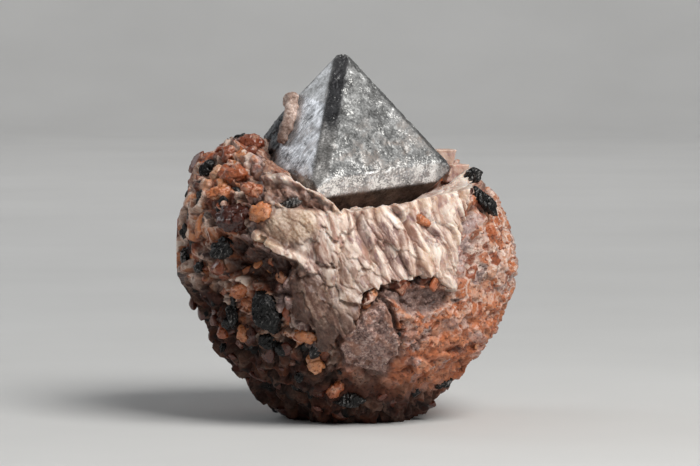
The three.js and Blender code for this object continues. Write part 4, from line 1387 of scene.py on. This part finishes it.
def crystal_material():
    s = Shader("franklinite_metal")
    at = s.looks("rise", *CRYSTAL_LOOKS)
    at.fine, at.top = s.noise(0.42, 6, 0.7), s.curve(at.rise, 0.44, 0.72)
    mottle, patches = s.noise(2.2, 5, 0.62, 0.6), s.noise(5.0, 4, 0.55, 0.4)
    brushed = s.stretched((0, 38, 0), (1.0, 1.0, 4.0))
    at.scratch = s.noise(0.40, 4, 0.6, 0.2, brushed)
    at.pattern = s.weighted((at.fine, 0.36), (mottle, 0.34), (patches, 0.30))
    ragged = s.plus(at.rise, s.times(s.noise(1.5, 4, 0.6), 0.16))
    at.solid = s.curve(ragged, 0.58, 0.72, 0.12, 0.97)
    fading, fleck = s.times(at.strip, s.less(at.solid)), crystal_flecks(s, at)
    brown = s.times(s.curve(patches, 0.50, 0.62), s.curve(at.fine, 0.35, 0.6),
                    s.curve(at.top, 0.9, 0.2), 0.6)
    # Painted shade: the lower face, which turns down, gets a dark brown copy of the metal.
    earthy = s.ramp(at.pattern, [(0.40, (0.029, 0.021, 0.017)), (0.62, (0.185, 0.140, 0.115))])
    coal = s.ramp(at.pattern, [(0.40, (0.020, 0.021, 0.024)), (0.64, (0.23, 0.235, 0.24))])
    # The strip lower down: lighter and less metallic.
    lower_strip_tone = s.ramp(at.pattern, [
        (0.40, (0.05, 0.048, 0.046)), (0.50, (0.22, 0.215, 0.21)), (0.60, (0.62, 0.61, 0.60)),
    ])
    colour = crystal_tints(s, at)
    for factor, tint in (
        (brown, (0.13, 0.088, 0.065)), (at.lower, earthy), (s.times(at.broken, 0.9), coal),
        (s.times(fleck, 0.85), (0.90, 0.90, 0.88)), (fading, lower_strip_tone),
    ):
        colour = s.blend(factor, colour, tint)
    metal = s.maths("SUBTRACT", s.curve(fleck, 0.0, 1.0, 0.85, 0.15), s.times(fading, 0.5), True)
    scored = s.times(at.scratch, at.left, 0.4)
    height = s.plus(s.times(at.fine, 0.5), scored, s.times(mottle, 0.4))
    return s.finish(
        Base_Color=colour, Metallic=metal, Roughness=s.curve(at.pattern, 0.38, 0.66, 0.64, 0.44),
        Normal=s.bump(height, 0.10, 0.45),
    )


def black_material():
    s = Shader("black_franklinite")
    fine = s.noise(0.5, 5, 0.65)
    lines = s.noise(0.45, 4, 0.6, 0.2, s.stretched((20, 35, 10), (1.0, 1.0, 6.0)))
    pattern = s.weighted((fine, 0.5), (lines, 0.4), (s.looks("tint").tint, 0.1))
    colour = s.ramp(pattern, [
        (0.40, (0.004, 0.004, 0.004)), (0.53, (0.022, 0.021, 0.021)), (0.64, (0.36, 0.34, 0.33)),
    ])
    gloss = s.curve(pattern, 0.35, 0.65, 0.24, 0.5)
    return s.finish(
        Base_Color=colour, Metallic=0.55, Roughness=gloss, Normal=s.bump(lines, 0.2, 0.6),
    )


def willemite_material():
    s = Shader("willemite_resinous")
    tint = s.looks("tint").tint
    fine = s.noise(0.7, 5, 0.65)
    cloud = s.noise(2.2, 4, 0.6, 0.4)
    colour = s.ramp(tint, [
        (0.0, (0.050, 0.009, 0.004)), (0.15, (0.14, 0.032, 0.014)), (0.35, (0.29, 0.075, 0.030)),
        (0.55, (0.42, 0.13, 0.05)), (0.8, (0.56, 0.23, 0.095)), (1.0, (0.54, 0.33, 0.22)),
    ])
    pale = s.blend(0.45, colour, (0.80, 0.52, 0.38))
    colour = s.blend(s.times(s.curve(cloud, 0.5, 0.68), s.curve(tint, 0.0, 0.25)), colour, pale)
    colour = s.multiply_tint(s.curve(fine, 0.5, 0.3), colour, (0.40, 0.28, 0.24))
    gloss = s.curve(fine, 0.3, 0.7, 0.22, 0.5)
    return s.finish(
        Base_Color=colour, Roughness=gloss, Normal=s.bump(fine, 0.2, 0.5),
        Subsurface_Weight=0.25, Subsurface_Radius=(1.0, 0.4, 0.2), Subsurface_Scale=0.0012,
        Coat_Weight=0.25, Coat_Roughness=0.2,
    )


def crust_material():
    s = Shader("brown_crust")
    fine = s.noise(0.5, 5, 0.65)
    colour = s.ramp(s.weighted((fine, 0.5), (s.noise(2.0, 4, 0.6), 0.5)), [
        (0.35, (0.19, 0.115, 0.085)), (0.5, (0.42, 0.30, 0.25)), (0.63, (0.72, 0.58, 0.51)),
    ])
    # Painted shade: darker towards the bottom.
    colour = s.multiply_tint(s.curve(s.height(), 0.068, 0.063), colour, (0.47, 0.43, 0.41))
    return s.finish(
        Base_Color=colour, Roughness=s.curve(fine, 0.3, 0.7, 0.4, 0.7),
        Normal=s.bump(fine, 0.25, 0.7),
        Subsurface_Weight=0.2, Subsurface_Radius=(1.0, 0.7, 0.5), Subsurface_Scale=0.001,
    )


# ---- the room, in metres
FLOOR_RADIUS, SWEEP, WALL_TOP = 1.3, 0.5, 1.6
STUDIO_SIDES, SWEEP_STEPS = 96, 12


def look_back(made, place, back):
    """Stands a camera or light at a place, with back the direction behind it."""
    made.location = place
    made.rotation_euler = back.to_track_quat("Z", "Y").to_euler()


def build_studio():
    """A round pale floor whose rim sweeps up into a wall."""
    angles = np.radians(np.arange(1, SWEEP_STEPS + 1) * 90 / SWEEP_STEPS)
    bend = zip(FLOOR_RADIUS + SWEEP * np.sin(angles), SWEEP - SWEEP * np.cos(angles))
    rings = [(FLOOR_RADIUS, 0.0), *bend, (FLOOR_RADIUS + SWEEP, WALL_TOP)]
    points, faces = [(0, 0, 0)], []
    for radius, height in rings:
        for side in range(STUDIO_SIDES):
            turn = 2 * math.pi * side / STUDIO_SIDES
            points.append((radius * math.cos(turn), radius * math.sin(turn), height))
    for side in range(STUDIO_SIDES):
        ahead = (side + 1) % STUDIO_SIDES
        faces.append((0, 1 + side, 1 + ahead))
        for ring in range(len(rings) - 1):
            low, high = 1 + ring * STUDIO_SIDES, 1 + (ring + 1) * STUDIO_SIDES
            faces.append((low + side, high + side, high + ahead, low + ahead))
    mesh = bpy.data.meshes.new("studio_sweep")
    mesh.from_pydata(points, [], faces)
    mesh.shade_smooth()
    s = Shader("pale_paper")
    tone = s.ramp(s.noise(90, 3, 0.5), [(0.3, (0.60, 0.60, 0.595)), (0.7, (0.64, 0.64, 0.635))])
    mesh.materials.append(s.finish(Base_Color=tone, Roughness=0.8))
    add_object("studio_sweep", mesh)


def add_light(name, direction, distance, width, height, power, colour, at=None):
    """A soft light in a direction from the specimen, pointing at it or at a place in metres."""
    lamp = bpy.data.lights.new(name, "AREA")
    lamp.shape = "RECTANGLE"
    lamp.size, lamp.size_y = width, height
    lamp.energy = power
    lamp.color = colour
    away = Vector(direction).normalized()
    place = Vector(SIGHT_TARGET * METRES) + away * distance
    look_back(add_object(name, lamp), place, place - Vector(at) if at else away)


def light_scene():
    add_light("key", (0.44, -0.56, 0.70), 0.80, 0.42, 0.42, 7.6, (1.0, 0.985, 0.955))
    add_light("rim", (-0.80, 0.34, 0.50), 0.75, 0.40, 0.34, 1.0, (0.92, 0.96, 1.0))
    on_wall = (0, 1.6, 0.25)
    add_light("wall_wash", (0.0, 0.72, 0.98), 1.15, 1.2, 0.4, 6.5, (1.0, 0.99, 0.98), on_wall)
    world = bpy.data.worlds.new("studio")
    bpy.context.scene.world = world
    world.use_nodes = True
    sky = world.node_tree.nodes["Background"].inputs
    sky["Color"].default_value = (0.9, 0.95, 1.0, 1)
    sky["Strength"].default_value = 0.12
    bpy.context.scene.view_settings.view_transform = "Standard"


def add_camera():
    camera = bpy.data.cameras.new("camera")
    camera.sensor_width = SENSOR
    camera.lens = LENS
    camera.clip_start, camera.clip_end = 0.05, 20
    made = add_object("camera", camera)
    back = Vector(towards(0, SIGHT_LIFT))
    look_back(made, Vector(SIGHT_TARGET * METRES) + back * SIGHT_DISTANCE * METRES, back)
    bpy.context.scene.camera = made


# ---- where the small grains lie
def wants_willemite(points, looks):
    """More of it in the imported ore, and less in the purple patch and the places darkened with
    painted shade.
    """
    return (0.9 * (1 - looks["sugar"]) + 0.06) * (1 - looks["purple"]) * (1 - looks["dark"])


def wants_franklinite(points, looks):
    """More of it far left and where the ore underneath is darkened with painted shade."""
    far_left = smoothstep(-points[:, 0], 20, 34)
    packed = 1 - looks["sugar"]
    return np.clip(packed * (0.25 + 0.5 * far_left) + 0.9 * looks["umber"], 0, 1) + 0.02


# ---- assembly
add_camera()
light_scene()
build_studio()
calcite, black, willemite = calcite_material(), black_material(), willemite_material()
build_ore(ore_material())
build_cloud("willemite_grains", willemite, 210, (1.0, 2.5), 0.75, wants_willemite, 11)
build_cloud(
    "franklinite_grains", black, 90, (0.6, 1.9), 1.1, wants_franklinite, 12
)
build_calcite(calcite)
build_crystal(crystal_material())
build_crust(crust_material())
PIECE_KINDS = {
    "franklinite_grain": (black, "black_franklinite", STRIATION_DEPTH),
    "willemite_crystal": (willemite, "willemite", 0.0),
    "calcite_plate": (calcite, "calcite", 0.0),
}
for number, name in enumerate(sorted(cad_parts)):
    for kind, (material, slot, striation) in PIECE_KINDS.items():
        if name.startswith(kind):
            build_grain(name, material, slot, 600 + 13 * number, striation)
